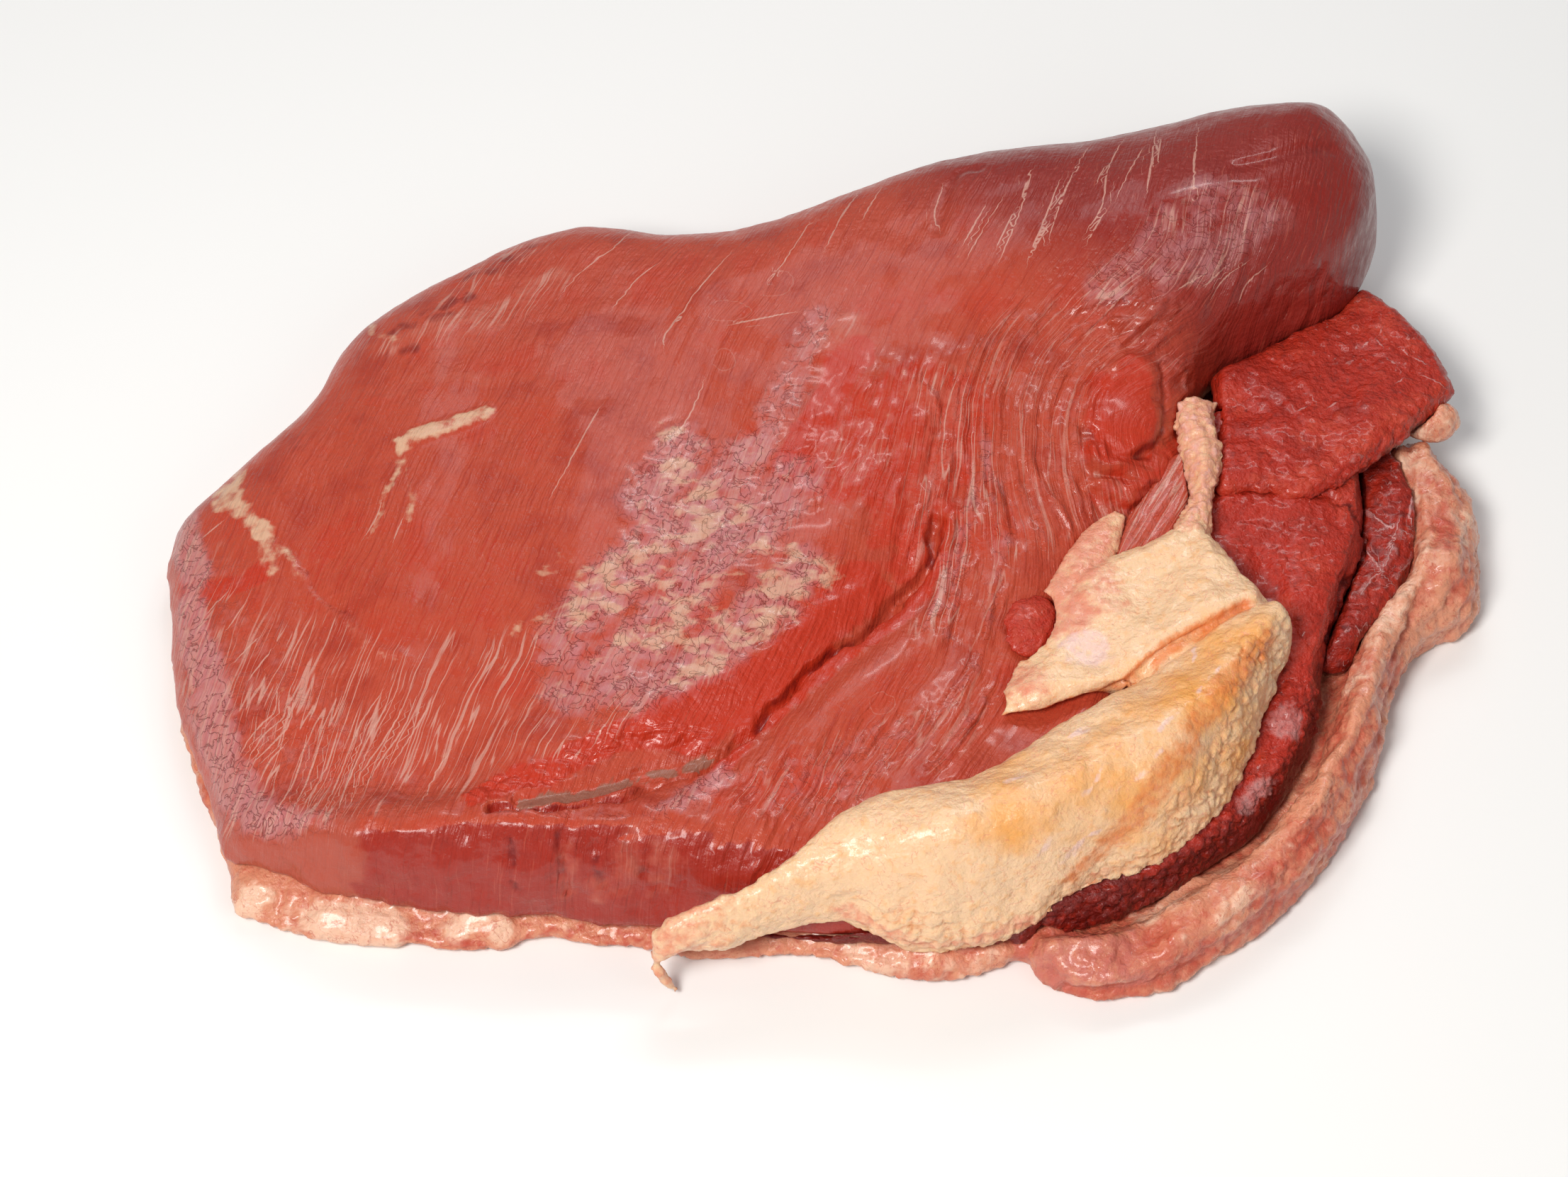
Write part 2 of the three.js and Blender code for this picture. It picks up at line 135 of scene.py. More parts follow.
HAZE = [
    *laid(
        LEFT_LOBE_VIEW, [(365, 700), (400, 790), (380, 830)],
        [(400, 650), (480, 600), (540, 650), (520, 760)],
        [(730, 720), (800, 750), (880, 760), (960, 740), (1020, 690)],
        [(840, 960), (900, 860), (960, 770), (1060, 650)],
        [(900, 1040), (960, 960), (1040, 900), (1100, 820)],
    ),
    *laid(
        FRONT_VIEW, [(240, 350), (300, 250), (260, 150)], [(60, 330), (130, 260), (220, 170)],
    ),
]
WHITE_STREAKS = [
    *laid(
        LEFT_LOBE_VIEW, [(240, 960), (290, 890), (345, 830), (355, 760)],
        [(262, 975), (310, 905), (370, 850), (385, 780)],
        [(283, 985), (330, 930), (385, 870), (400, 800)], [(300, 1040), (330, 980), (375, 930)],
        [(350, 1120), (395, 1050), (420, 980), (440, 900)],
        [(390, 1140), (430, 1060), (460, 970), (490, 880)],
        [(420, 1180), (450, 1080), (500, 980), (530, 880)],
        [(480, 1170), (520, 1050), (560, 950), (600, 860), (660, 770)],
        [(520, 1150), (550, 1050), (590, 960), (640, 870), (700, 780)],
        [(560, 1100), (600, 1010), (660, 920), (720, 810)],
        [(600, 1060), (650, 980), (720, 880), (760, 790)], [(680, 990), (740, 900), (800, 810)],
        [(770, 1100), (815, 1010), (860, 940)], [(200, 600), (262, 515)], [(228, 690), (300, 610)],
        [(268, 742), (335, 650)], [(130, 330), (200, 270)], [(150, 550), (210, 480)],
        [(600, 330), (640, 270), (660, 220)], [(690, 340), (720, 270)],
    ),
]
LILAC_EDGE = [
    *laid(
        LEFT_LOBE_VIEW, [(70, 270), (75, 330), (95, 400), (120, 450)],
        [(100, 540), (120, 640), (150, 720), (165, 800)],
        [(110, 830), (160, 900), (210, 980), (260, 1050)],
        [(230, 1060), (300, 1110), (380, 1150), (480, 1160)],
    ),
]
ORANGE_PATCH = [
    *laid(
        LEFT_LOBE_VIEW, [(90, 470), (160, 480), (250, 460), (300, 430)], [(115, 520), (130, 590)],
    ),
]
ORANGE_FIBRES = [
    *laid(
        LEFT_LOBE_VIEW, [(500, 350), (540, 430), (500, 480)], [(720, 420), (850, 430), (960, 420)],
        [(640, 560), (760, 540), (900, 520)],
    ),
]
PALE_STREAKS = [
    *laid(
        TOP_LEFT_VIEW, [(0, 500), (80, 460), (160, 440), (260, 400), (380, 340), (480, 280)],
        [(120, 540), (200, 500), (300, 440)], [(0, 640), (100, 590), (260, 600)],
    ),
]
LILAC_LINES = [
    *laid(
        TOP_LEFT_VIEW, [(710, 155), (650, 205), (600, 240), (540, 290), (490, 350)],
        [(775, 255), (720, 300), (680, 350), (645, 390)],
        [(1000, 225), (930, 310), (880, 370), (840, 430)],
        [(1240, 130), (1200, 190), (1150, 260), (1110, 310)], [(1395, 40), (1340, 110), (1280, 210)],
        [(850, 400), (800, 470), (790, 510)], [(1000, 440), (1075, 425), (1190, 400)],
        [(610, 690), (540, 810), (460, 960)], [(920, 600), (880, 700), (820, 800)],
    ),
    *laid(
        THICK_END_VIEW, [(60, 290), (20, 350), (0, 390)], [(480, 290), (420, 380), (370, 470)],
        [(1030, 100), (1015, 200), (1020, 300)], [(910, 110), (890, 200), (880, 290)],
        [(820, 130), (770, 220), (750, 320), (700, 400)], [(720, 150), (650, 280), (600, 420)],
        [(560, 220), (520, 340), (460, 480)], [(640, 240), (590, 360), (540, 480)],
    ),
]
SCARS = [
    *laid(
        TOP_LEFT_VIEW,
        [(1095, 340), (1115, 290), (1165, 280), (1185, 315), (1160, 350), (1105, 355), (1095, 340)],
        [(920, 400), (960, 370), (1030, 372), (1060, 400), (1020, 425), (950, 425), (920, 400)],
        [(940, 550), (960, 515), (1000, 520), (1010, 560), (970, 575), (940, 550)],
        [(1222, 130), (1250, 100), (1290, 98), (1280, 125), (1240, 140), (1222, 130)],
    ),
    *laid(
        FRONT_VIEW, [(1400, 310), (1440, 285), (1485, 310), (1475, 350), (1420, 355), (1400, 310)],
    ),
]
PALE_BAND = [
    *laid(
        TOP_LEFT_VIEW,
        [(1330, 450), (1260, 500), (1200, 570), (1150, 650), (1105, 740), (1095, 830), (1120, 890)],
    ),
]
PALE_PLANE = [
    *laid(
        TOP_LEFT_VIEW, [(1230, 440), (1400, 410), (1560, 400)],
    ),
    *laid(
        THICK_END_VIEW, [(0, 640), (120, 680), (250, 640)],
    ),
]
DARK_STRIP = [
    *laid(
        TOP_LEFT_VIEW, [(1380, 530), (1320, 600), (1265, 700), (1215, 800), (1175, 880)],
    ),
]
BROW_RIDGE = [
    *laid(
        FRONT_VIEW,
        [(230, 690), (330, 690), (430, 700), (560, 685), (690, 690), (760, 660), (830, 600),
         (940, 550)],
    ),
]
STRAND_RIDGES = [
    *laid(
        FRONT_VIEW, [(960, 920), (1010, 810), (1070, 690), (1120, 590), (1160, 500)],
        [(975, 900), (1050, 790), (1130, 680), (1190, 570), (1230, 480)],
        [(1040, 850), (1110, 750), (1180, 660), (1250, 540), (1300, 450)],
        [(1130, 790), (1200, 690), (1260, 600), (1320, 500), (1380, 430)],
        [(1190, 740), (1260, 640), (1330, 540), (1390, 460), (1440, 400)],
        [(1290, 640), (1360, 560), (1430, 470), (1500, 380)], [(1380, 600), (1450, 500), (1568, 350)],
        [(920, 800), (960, 700), (1010, 610), (1060, 530)],
    ),
    *laid(
        MIDDLE_VIEW, [(420, 1300), (520, 1180), (620, 1060), (660, 960)],
        [(520, 1340), (600, 1230), (680, 1120)],
        [(560, 900), (600, 760), (620, 640), (640, 500), (680, 360), (690, 240)],
        [(700, 900), (720, 760), (740, 600), (730, 480), (720, 380)],
        [(480, 880), (530, 760), (560, 640), (590, 540)],
    ),
]
WRINKLES = [
    *laid(
        MIDDLE_VIEW, [(370, 330), (400, 200), (470, 80)], [(480, 360), (520, 260), (560, 130)],
        [(220, 330), (300, 250), (330, 140)], [(420, 420), (450, 300), (500, 180)],
        [(150, 330), (230, 260), (290, 150)],
    ),
]
CURL_CREASE = [
    *laid(
        THICK_END_VIEW, [(925, 960), (895, 1015), (840, 1035)], [(700, 960), (760, 1030), (830, 1045)],
    ),
    *laid(
        MIDDLE_VIEW, [(1200, 480), (1230, 420), (1290, 370)],
    ),
]
ROLL_TEAR = [
    *laid(
        THICK_END_VIEW, [(1130, 205), (1250, 185), (1330, 160), (1410, 165)],
        [(290, 390), (305, 300), (350, 225), (405, 215)],
    ),
]
RED_POCKET = [
    *laid(
        MIDDLE_VIEW, [(360, 560), (430, 540), (450, 620), (400, 660)],
        [(200, 730), (290, 700), (270, 760)],
    ),
]
GRAIN_EXTRA = [
    *laid(
        PHOTO_VIEW, [(520, 1290), (520, 1180)], [(760, 1290), (760, 1180)], [(900, 1260), (905, 1160)],
        [(640, 1290), (640, 1190)], [(400, 1260), (420, 1200)], [(620, 470), (700, 380)],
        [(560, 780), (640, 640)], [(750, 900), (800, 780)], [(1000, 720), (1060, 600)],
        [(1900, 420), (1930, 300)], [(1780, 520), (1850, 400)], [(700, 620), (800, 470)],
        [(900, 560), (960, 450)], [(1300, 520), (1340, 400)], [(1750, 160), (1750, 120)],
        [(450, 1050), (520, 880)], [(560, 1080), (640, 900)], [(680, 1020), (760, 850)],
        [(480, 820), (540, 660)], [(600, 800), (690, 620)], [(720, 780), (810, 600)],
        [(840, 720), (920, 540)], [(940, 600), (1020, 430)], [(620, 560), (690, 420)],
        [(760, 520), (840, 360)], [(1060, 520), (1130, 360)], [(1160, 420), (1220, 300)],
        [(1280, 380), (1320, 260)], [(1400, 340), (1430, 220)], [(1520, 330), (1545, 200)],
        [(900, 900), (980, 700)], [(1000, 880), (1080, 700)], [(500, 620), (570, 500)],
        [(360, 1080), (400, 980)], [(300, 950), (340, 850)],
    ),
]
FAT_CLEFT = [
    *laid(
        MIDDLE_VIEW,
        [(730, 1190), (850, 1180), (950, 1150), (1060, 1110), (1200, 1030), (1300, 940), (1400, 880),
         (1560, 800)],
    ),
]
WEDGE_ORANGE = [
    *laid(
        WEDGE_VIEW, [(250, 790), (350, 690), (450, 600), (520, 490), (600, 400), (720, 230), (860, 60)],
    ),
]
LOBE_PINK = [
    *laid(
        MIDDLE_VIEW, [(950, 660), (1050, 580), (1160, 510)], [(920, 760), (960, 860)],
        [(770, 1030), (850, 1060)],
    ),
]
LOBE_WHITE = [
    *laid(
        MIDDLE_VIEW, [(1000, 940), (1060, 960)],
    ),
]
LOBE_YELLOW = [
    *laid(
        MIDDLE_VIEW, [(1180, 800), (1280, 660), (1400, 620)],
    ),
]
UNDERTINT = [
    *laid(
        FAT_STRIP_VIEW, [(560, 640), (700, 700), (850, 735), (1000, 690), (1150, 640), (1300, 540)],
    ),
]
FLAP_EDGE = [
    *laid(
        RIGHT_END_VIEW,
        [(400, 770), (540, 780), (700, 775), (860, 700), (980, 620), (1110, 540), (1160, 460)],
    ),
]
RIM_PURPLE = [
    *laid(
        WEDGE_VIEW, [(180, 1090), (300, 1060), (400, 1040)],
    ),
]
CAP_CREAM = [
    *laid(
        LEFT_LOBE_VIEW, [(420, 1440), (520, 1470), (640, 1470), (760, 1440), (880, 1430)],
        [(570, 1385), (720, 1400), (850, 1415)],
    ),
    *laid(
        FAT_STRIP_VIEW, [(630, 750), (760, 790), (880, 800)],
    ),
]
FOLD_LIP = [
    *laid(
        FOLD_VIEW, [(555, 372), (650, 372), (755, 300), (785, 268)],
        [(600, 400), (740, 352), (840, 312)],
    ),
]
KNOB_EDGE = [
    *laid(
        FOLD_VIEW, [(520, 600), (490, 720), (520, 860), (600, 930), (700, 940), (760, 900)],
        [(770, 560), (790, 680), (770, 800), (800, 870)],
    ),
]
CLEFTS = [
    *laid(
        PHOTO_VIEW, [(720, 1180), (726, 1250)], [(790, 1175), (800, 1262)], [(845, 1180), (850, 1255)],
        [(655, 1160), (660, 1190)], [(880, 1170), (905, 1240)],
    ),
]
FURROW_CREASE = [
    *laid(
        SADDLE_VIEW,
        [(470, 455), (530, 420), (600, 355), (650, 305), (700, 265), (750, 235), (790, 190),
         (820, 160), (850, 110), (868, 45)],
        [(120, 528), (200, 525), (300, 512), (400, 482), (480, 455)],
    ),
]
FURROW_WINDOW = [
    *laid(
        SADDLE_VIEW, [(165, 515), (230, 505), (300, 490), (370, 470), (440, 452), (500, 440)],
    ),
]
FURROW_BANK = [
    *laid(
        SADDLE_VIEW,
        [(90, 510), (150, 480), (200, 468), (250, 445), (300, 420), (340, 400), (400, 405), (460, 415)],
    ),
]
FURROW_BULGE = [
    *laid(
        SADDLE_VIEW, [(400, 380), (480, 345), (560, 300), (630, 250), (690, 205), (740, 170)],
        [(470, 390), (540, 365), (600, 310), (660, 265)],
    ),
]
FURROW_LIP = [
    *laid(
        SADDLE_VIEW,
        [(500, 460), (560, 400), (625, 350), (680, 300), (735, 260), (790, 215), (840, 165),
         (875, 100), (890, 30)],
    ),
]
CREAM_BAND = [
    *laid(
        SADDLE_VIEW, [(700, 120), (650, 160), (600, 200), (540, 235), (490, 275), (440, 320)],
    ),
]
SEAM_PATCH = [
    *laid(
        LOBE_VIEW, [(205, 75), (185, 130), (215, 185), (265, 235)], [(150, 130), (200, 170)],
    ),
]
SEAM_FEATHER = [
    *laid(
        LOBE_VIEW, [(240, 220), (280, 260), (320, 290)], [(270, 280), (288, 330)],
    ),
]
SEAM_LINE = [
    *laid(
        LOBE_VIEW, [(325, 290), (370, 355), (420, 410), (470, 455), (520, 500), (570, 540), (620, 560)],
    ),
]
SEAM_CREASE = [
    *laid(
        LOBE_VIEW, [(300, 240), (345, 300), (385, 350), (440, 410), (485, 445)],
    ),
]
CREAM_STREAK = [
    *laid(
        BACK_VIEW, [(225, 415), (270, 395), (320, 380), (362, 364)],
    ),
]
CREAM_BRANCHES = [
    *laid(
        BACK_VIEW, [(222, 425), (226, 450), (236, 478), (241, 510), (237, 545)],
        [(222, 440), (214, 470), (196, 500), (181, 545), (168, 576)],
    ),
]
CORNER_CREAM = [
    *laid(
        BACK_VIEW, [(170, 212), (190, 232), (225, 245)],
    ),
]
CORNER_HAZE = [
    *laid(
        BACK_VIEW, [(180, 252), (260, 235), (340, 205), (420, 180), (480, 135)],
        [(250, 185), (320, 150), (400, 110), (450, 75)],
    ),
]
BLOTCHES = [
    *laid(
        BACK_VIEW, [(205, 225), (245, 212)], [(262, 192), (280, 183)], [(295, 180), (303, 172)],
        [(325, 168), (336, 163)], [(340, 132), (350, 128)], [(375, 127), (385, 122)],
        [(405, 102), (413, 98)], [(375, 172), (384, 168)], [(290, 205), (300, 200)],
        [(430, 88), (440, 82)], [(225, 262), (240, 255)],
    ),
]
SILVER_BAND = [
    *laid(
        BACK_VIEW, [(940, 200), (915, 250), (885, 310), (855, 370), (830, 420)],
    ),
]
SILVER_PATCH = [
    *laid(
        BACK_VIEW, [(700, 420), (640, 520)], [(800, 440), (720, 560)], [(900, 470), (820, 570)],
    ),
    *laid(
        SADDLE_VIEW, [(420, 40), (330, 140), (230, 250)],
        [(560, 30), (450, 150), (330, 290), (240, 330)],
        [(640, 130), (560, 200), (460, 280), (370, 330)],
    ),
]
CREAM_FLAKES = [
    *laid(
        SADDLE_VIEW, [(330, 105), (380, 90), (430, 75)], [(275, 145), (330, 140), (390, 142)],
        [(450, 15), (475, 5)], [(165, 215), (230, 200), (310, 195)],
        [(350, 235), (420, 240), (480, 215)], [(510, 150), (590, 140)],
    ),
    *laid(
        BACK_VIEW, [(690, 450), (740, 500)], [(660, 400), (690, 380)], [(720, 570), (770, 540)],
    ),
    *laid(
        SADDLE_VIEW, [(560, 100), (620, 110)], [(200, 115), (245, 100)], [(420, 190), (500, 180)],
    ),
]
KNOB = [
    *laid(
        ROSETTE_VIEW, [(440, 190), (450, 230), (440, 290), (415, 320)], [(400, 220), (400, 270)],
    ),
]
CURL = [
    *laid(
        ROSETTE_VIEW, [(525, 320), (505, 355), (465, 375), (420, 365), (385, 340)],
        [(470, 400), (430, 410), (390, 395)],
    ),
]
ROSETTE_ARCS = [
    *laid(
        ROSETTE_VIEW,
        [(530, 165), (470, 165), (410, 180), (360, 215), (335, 270), (350, 330), (395, 385),
         (440, 430)],
        [(500, 130), (430, 125), (360, 150), (310, 200), (290, 260), (300, 330), (340, 395),
         (390, 450)],
        [(510, 100), (420, 90), (340, 110), (280, 160), (250, 230), (250, 310), (280, 390), (330, 460)],
        [(500, 70), (420, 55), (330, 75), (260, 120), (215, 190), (205, 280), (230, 370), (270, 450),
         (290, 500)],
        [(300, 60), (240, 110), (190, 170), (170, 250), (180, 340), (210, 430), (230, 500)],
        [(230, 80), (170, 150), (140, 230), (140, 330), (150, 420), (130, 520), (90, 620)],
        [(60, 200), (90, 240), (100, 300), (90, 380), (40, 470)],
        [(120, 190), (130, 260), (120, 340), (80, 440), (50, 520)],
        [(480, 60), (495, 75), (440, 120), (380, 145)], [(560, 250), (540, 200), (520, 175)],
    ),
]
# Painted highlight: the glare on top of the rolled end, laid in the silverskin and pale-fibre colours.
ROLL_SHINE = [
    *laid(
        ROLL_VIEW, [(640, 190), (600, 240), (560, 280)], [(720, 160), (680, 220), (640, 270)],
        [(780, 190), (730, 240), (690, 260)], [(690, 150), (740, 160), (790, 180)],
    ),
]
ROLL_LINES = [
    *laid(
        ROLL_VIEW, [(690, 55), (687, 100), (685, 145), (680, 165)], [(612, 90), (595, 120), (575, 160)],
        [(525, 110), (505, 140), (485, 175)], [(560, 110), (545, 140)], [(455, 120), (440, 160)],
        [(330, 140), (318, 180), (325, 205)], [(640, 75), (632, 110)], [(430, 180), (405, 230)],
        [(480, 190), (455, 240)], [(245, 145), (215, 190)], [(390, 170), (360, 225)],
        [(560, 180), (535, 220)],
    ),
]
ROLL_DIAGONALS = [
    *laid(
        ROLL_VIEW, [(830, 265), (800, 290), (785, 320)], [(850, 275), (825, 305), (810, 335)],
        [(790, 255), (760, 280), (745, 310)], [(760, 250), (725, 275), (705, 305)],
        [(730, 255), (695, 285)], [(870, 290), (850, 320)], [(700, 265), (660, 290)],
        [(745, 310), (725, 345)], [(775, 320), (760, 355)], [(805, 335), (795, 365)],
    ),
]
WEDGE_COBBLES = [
    *laid(
        FAT_VIEW,
        [(905, 60), (890, 150), (850, 240), (790, 310), (720, 360), (650, 400), (560, 440), (460, 460),
         (380, 440)], [(880, 60), (860, 150), (820, 230), (770, 290)],
    ),
]
WEDGE_YELLOW = [
    *laid(
        FAT_VIEW, [(870, 60), (800, 100), (720, 150), (640, 250), (560, 300)],
        [(850, 150), (760, 230), (690, 270)],
    ),
]
WEDGE_WHITE = [
    *laid(
        FAT_VIEW, [(280, 300), (350, 290), (420, 270)], [(330, 360), (300, 380)],
        [(450, 390), (520, 400), (620, 370)],
    ),
]
WEDGE_SHEEN = [
    *laid(
        FAT_VIEW, [(745, 195), (700, 240), (665, 275)], [(690, 190), (640, 250)],
        [(790, 50), (785, 75)], [(650, 310), (600, 350)], [(830, 75), (800, 110), (740, 170)],
        [(600, 190), (640, 170)], [(560, 220), (530, 235)], [(600, 320), (570, 345)],
    ),
]
INNER_BRIDGES = [
    *laid(
        FLAP_VIEW, [(575, 480), (560, 560), (575, 620)], [(470, 550), (520, 590), (570, 610)],
        [(530, 600), (510, 640)], [(450, 740), (490, 700), (530, 730)],
        [(540, 570), (520, 640), (500, 690)], [(575, 650), (530, 700)], [(465, 640), (500, 690)],
        [(430, 430), (480, 470)], [(530, 400), (545, 450)],
    ),
]
RIM_WHITE = [
    *laid(
        FLAP_VIEW, [(560, 420), (600, 470), (600, 560), (610, 640)],
        [(640, 500), (680, 560), (690, 650)], [(480, 800), (540, 760), (600, 700)],
        [(440, 940), (480, 860)],
    ),
    *laid(
        RIM_VIEW, [(560, 300), (490, 370)], [(460, 430), (520, 380)], [(330, 450), (400, 420)],
    ),
]
RIM_RED = [
    *laid(
        FLAP_VIEW, [(640, 560), (660, 640)], [(600, 480), (640, 510)],
    ),
    *laid(
        RIM_VIEW, [(620, 290), (640, 320)], [(180, 480), (260, 440)], [(700, 240), (640, 330)],
        [(560, 350), (500, 420)], [(380, 540), (470, 480)],
    ),
]
FLAP_STARS = [
    *laid(
        FLAP_VIEW, [(485, 160), (500, 175)], [(515, 205), (530, 215)], [(395, 300), (375, 315)],
        [(570, 200), (600, 220)], [(530, 260), (550, 250)], [(590, 240), (640, 270)],
        [(455, 175), (470, 165)], [(340, 285), (350, 300)], [(310, 320), (330, 310)],
        [(500, 130), (490, 150)], [(545, 180), (560, 195)],
    ),
]
FLAP_BRIGHT = [
    *laid(
        FLAP_VIEW,
        [(150, 500), (230, 500), (300, 490), (350, 450), (400, 420), (470, 390), (540, 340),
         (580, 320)], [(420, 70), (480, 80)], [(330, 380), (400, 350)], [(500, 330), (570, 300)],
    ),
]
SECOND_BRIGHT = [
    *laid(
        FLAP_VIEW, [(150, 560), (230, 540), (320, 560), (370, 620)],
        [(300, 640), (370, 640), (440, 640)], [(160, 640), (180, 700)], [(330, 720), (390, 760)],
        [(250, 600), (330, 700), (350, 790)],
    ),
]
SECOND_EDGE = [
    *laid(
        FLAP_VIEW, [(380, 500), (440, 560), (450, 640), (410, 720), (390, 800), (370, 850)],
    ),
]
DARK_RED_CRUMBS = [
    *laid(
        RIM_VIEW,
        [(120, 470), (200, 440), (300, 400), (400, 340), (470, 270), (530, 190), (570, 120), (600, 60)],
        [(60, 490), (120, 495)], [(620, 40), (640, 100), (620, 180)],
    ),
]
MEMBRANE_GREY = [
    *laid(
        RIM_VIEW, [(580, 60), (590, 90), (560, 80)], [(540, 200), (500, 230)],
    ),
]
CAP_WHITE = [
    *laid(
        FACE_VIEW, [(200, 340), (250, 350), (310, 355)], [(230, 370), (300, 375)],
        [(420, 350), (460, 345), (490, 360)], [(560, 345), (600, 350)], [(95, 300), (80, 320)],
    ),
]
CAP_PINK = [
    *laid(
        FACE_VIEW, [(330, 370), (400, 375), (450, 385)], [(340, 345), (400, 335)],
        [(520, 375), (620, 360), (700, 372)], [(640, 380), (720, 382)],
    ),
]
FACE_PALE = [
    *laid(
        FACE_VIEW, [(700, 200), (690, 260), (650, 300)], [(590, 230), (600, 300)],
        [(760, 230), (740, 290)],
    ),
]
FRONT_SKIRT = [
    *laid(
        FACE_VIEW, [(60, 200), (120, 260), (170, 300)], [(150, 210), (200, 260), (230, 300)],
        [(230, 190), (250, 250)],
    ),
]
LILAC_RIM = [
    *laid(
        LOBE_VIEW, [(60, 190), (75, 260), (100, 320)], [(80, 420), (90, 480)],
        [(90, 520), (130, 600), (150, 680), (170, 760)],
    ),
    *laid(
        FACE_VIEW, [(10, 110), (50, 140), (90, 175), (140, 205)], [(10, 60), (30, 110)],
    ),
]
WHITE_FAN = [
    *laid(
        LOBE_VIEW, [(560, 520), (480, 600), (400, 700)], [(420, 480), (470, 540), (430, 620)],
        [(330, 540), (310, 620), (260, 680)], [(340, 600), (330, 680), (300, 760)],
        [(900, 540), (820, 620), (760, 700)], [(700, 520), (640, 600), (560, 700)],
        [(860, 570), (720, 620), (640, 650)],
    ),
    *laid(
        FACE_VIEW, [(230, 30), (210, 100), (180, 170)], [(130, 40), (90, 110), (60, 150)],
        [(340, 30), (320, 90)], [(680, 0), (620, 40), (560, 50)],
    ),
]
# The crest of the cap's folded rim, in millimetres.
RIM_LINE = [
    (60, -172, 12), (90, -174, 14), (129, -157, 20), (160, -130, 26), (178, -105, 27),
    (192, -75, 26), (205, -45, 26), (218, -15, 28), (226, 15, 28), (228, 40, 26),
]

LAMPS = (
    # name, place, width, depth, watts, tint
    ("key_softbox", (-0.5, -0.8, 1.35), 0.5, 0.5, 22, (1.0, 0.98, 0.95)),
    ("fill_softbox", (0.9, -0.9, 1.0), 0.8, 0.8, 2.5, (1.0, 0.99, 0.97)),
    ("back_softbox", (-0.1, 1.0, 1.3), 0.7, 0.7, 4, (0.92, 0.95, 1.0)),
    ("right_strip", (0.4, 0.75, 1.1), 0.3, 0.08, 1.4, (1.0, 1.0, 1.0)),
    ("middle_strip", (0.05, 0.8, 1.15), 0.3, 0.07, 1.2, (1.0, 1.0, 1.0)),
)
SKY_COLOUR = (0.95, 0.97, 1.0, 1.0)
SKY_STRENGTH = 0.18


def linear(hex_colour):
    """An sRGB hex colour as linear red, green and blue."""
    parts = [int(hex_colour[i : i + 2], 16) / 255 for i in (1, 3, 5)]
    return [p / 12.92 if p <= 0.04045 else ((p + 0.055) / 1.055) ** 2.4 for p in parts]


def colour_setting(name, description, hex_colour):
    return bpy.props.FloatVectorProperty(
        name=name, description=description, subtype="COLOR", size=3, min=0, max=1, default=linear(hex_colour)
    )


def length_setting(name, description, millimetres):
    return bpy.props.FloatProperty(
        name=name, description=description, unit="LENGTH", subtype="DISTANCE", min=0, default=millimetres * MM
    )


class LeanSettings(bpy.types.PropertyGroup):
    red: colour_setting("Lean", "Lean under its thin skin", "#b9472f")
    deep: colour_setting("Deep lean", "Darker patches of the lean", "#992418")
    # Also painted as shade over the far right end of the roll.
    roll: colour_setting("Rolled end", "Brownish lean of the rolled end", "#85201c")
    orange: colour_setting("Bare fibres", "Moist fibres without skin", "#bd3119")
    # Blood for the real blotches and tears, and painted shade in the creases and on the far right end of the
    # roll.
    blood: colour_setting("Blood", "Blotches, pockets and creases", "#76120e")
    # Silverskin colour, also painted as highlights on the roll's top, the strand and rosette ridges and the
    # brow.
    skin: colour_setting("Silverskin", "Pearly skin over the lean", "#bf7e82")
    pale: colour_setting("Pale skin", "Thicker, pinker skin", "#c1604c")
    # Also painted as highlights on the roll's top and along the strand and rosette ridges.
    haze: colour_setting("Pale fibres", "Fine pale streaks along the fibres", "#d29c8c")
    cream: colour_setting("Fat on the lean", "Fat flecks and streaks", "#dcb494")
    sheath: colour_setting("Sheath", "Brownish sheath at the bottom of the furrow", "#94604e")
    cut: colour_setting("Cut lean", "The cut face along the front", "#a02a1c")
    skirt: colour_setting("Skirt", "Thin pinkish tissue at the front corner", "#b14c38")
    spacing: length_setting("Mesh spacing", "Distance between mesh points on plain lean", 3.3)
    fibre: length_setting("Fibre spacing", "Distance between coarse fibres", 2.6)


class CutSettings(bpy.types.PropertyGroup):
    red: colour_setting("Cut meat", "Coarse cut meat of the flaps", "#b52c1a")
    # Deep red of the meat, also used as painted shade on down-facing, low-lying and deep-lying meat and in
    # the grooves.
    dark: colour_setting("Dark meat", "Meat that lies deep between the layers", "#64100b")
    edge: colour_setting("Torn edge", "Bright torn edges", "#cc4830")
    web: colour_setting("Web", "White membrane web", "#d9a09c")
    spacing: length_setting("Mesh spacing", "Distance between mesh points", 1.1)
    grain: length_setting("Grain", "Width of a bundle of fibres", 3.4)


class FatSettings(bpy.types.PropertyGroup):
    pale: colour_setting("Pale fat", "Thick fat at its palest", "#f2c9a0")
    yellow: colour_setting("Yellow fat", "Seam fat on its right half", "#f0a44e")
    # The orange also stands for painted shade in the hollows between lobules and on the fat's underside.
    orange: colour_setting("Orange fat", "Bands and hollows of the seam fat", "#e07f42")
    pink: colour_setting("Pink fat", "Fat stained by the lean", "#e0866e")
    # Painted sheen: pale pearly streaks that stand in for highlights on the wet fat.
    sheen: colour_setting("Sheath on fat", "Pearly sheath over the fat", "#f0ccc4")
    spacing: length_setting("Mesh spacing", "Distance between mesh points", 1.05)
    lobule: length_setting("Lobule", "Width of a lobule of fat", 6.0)


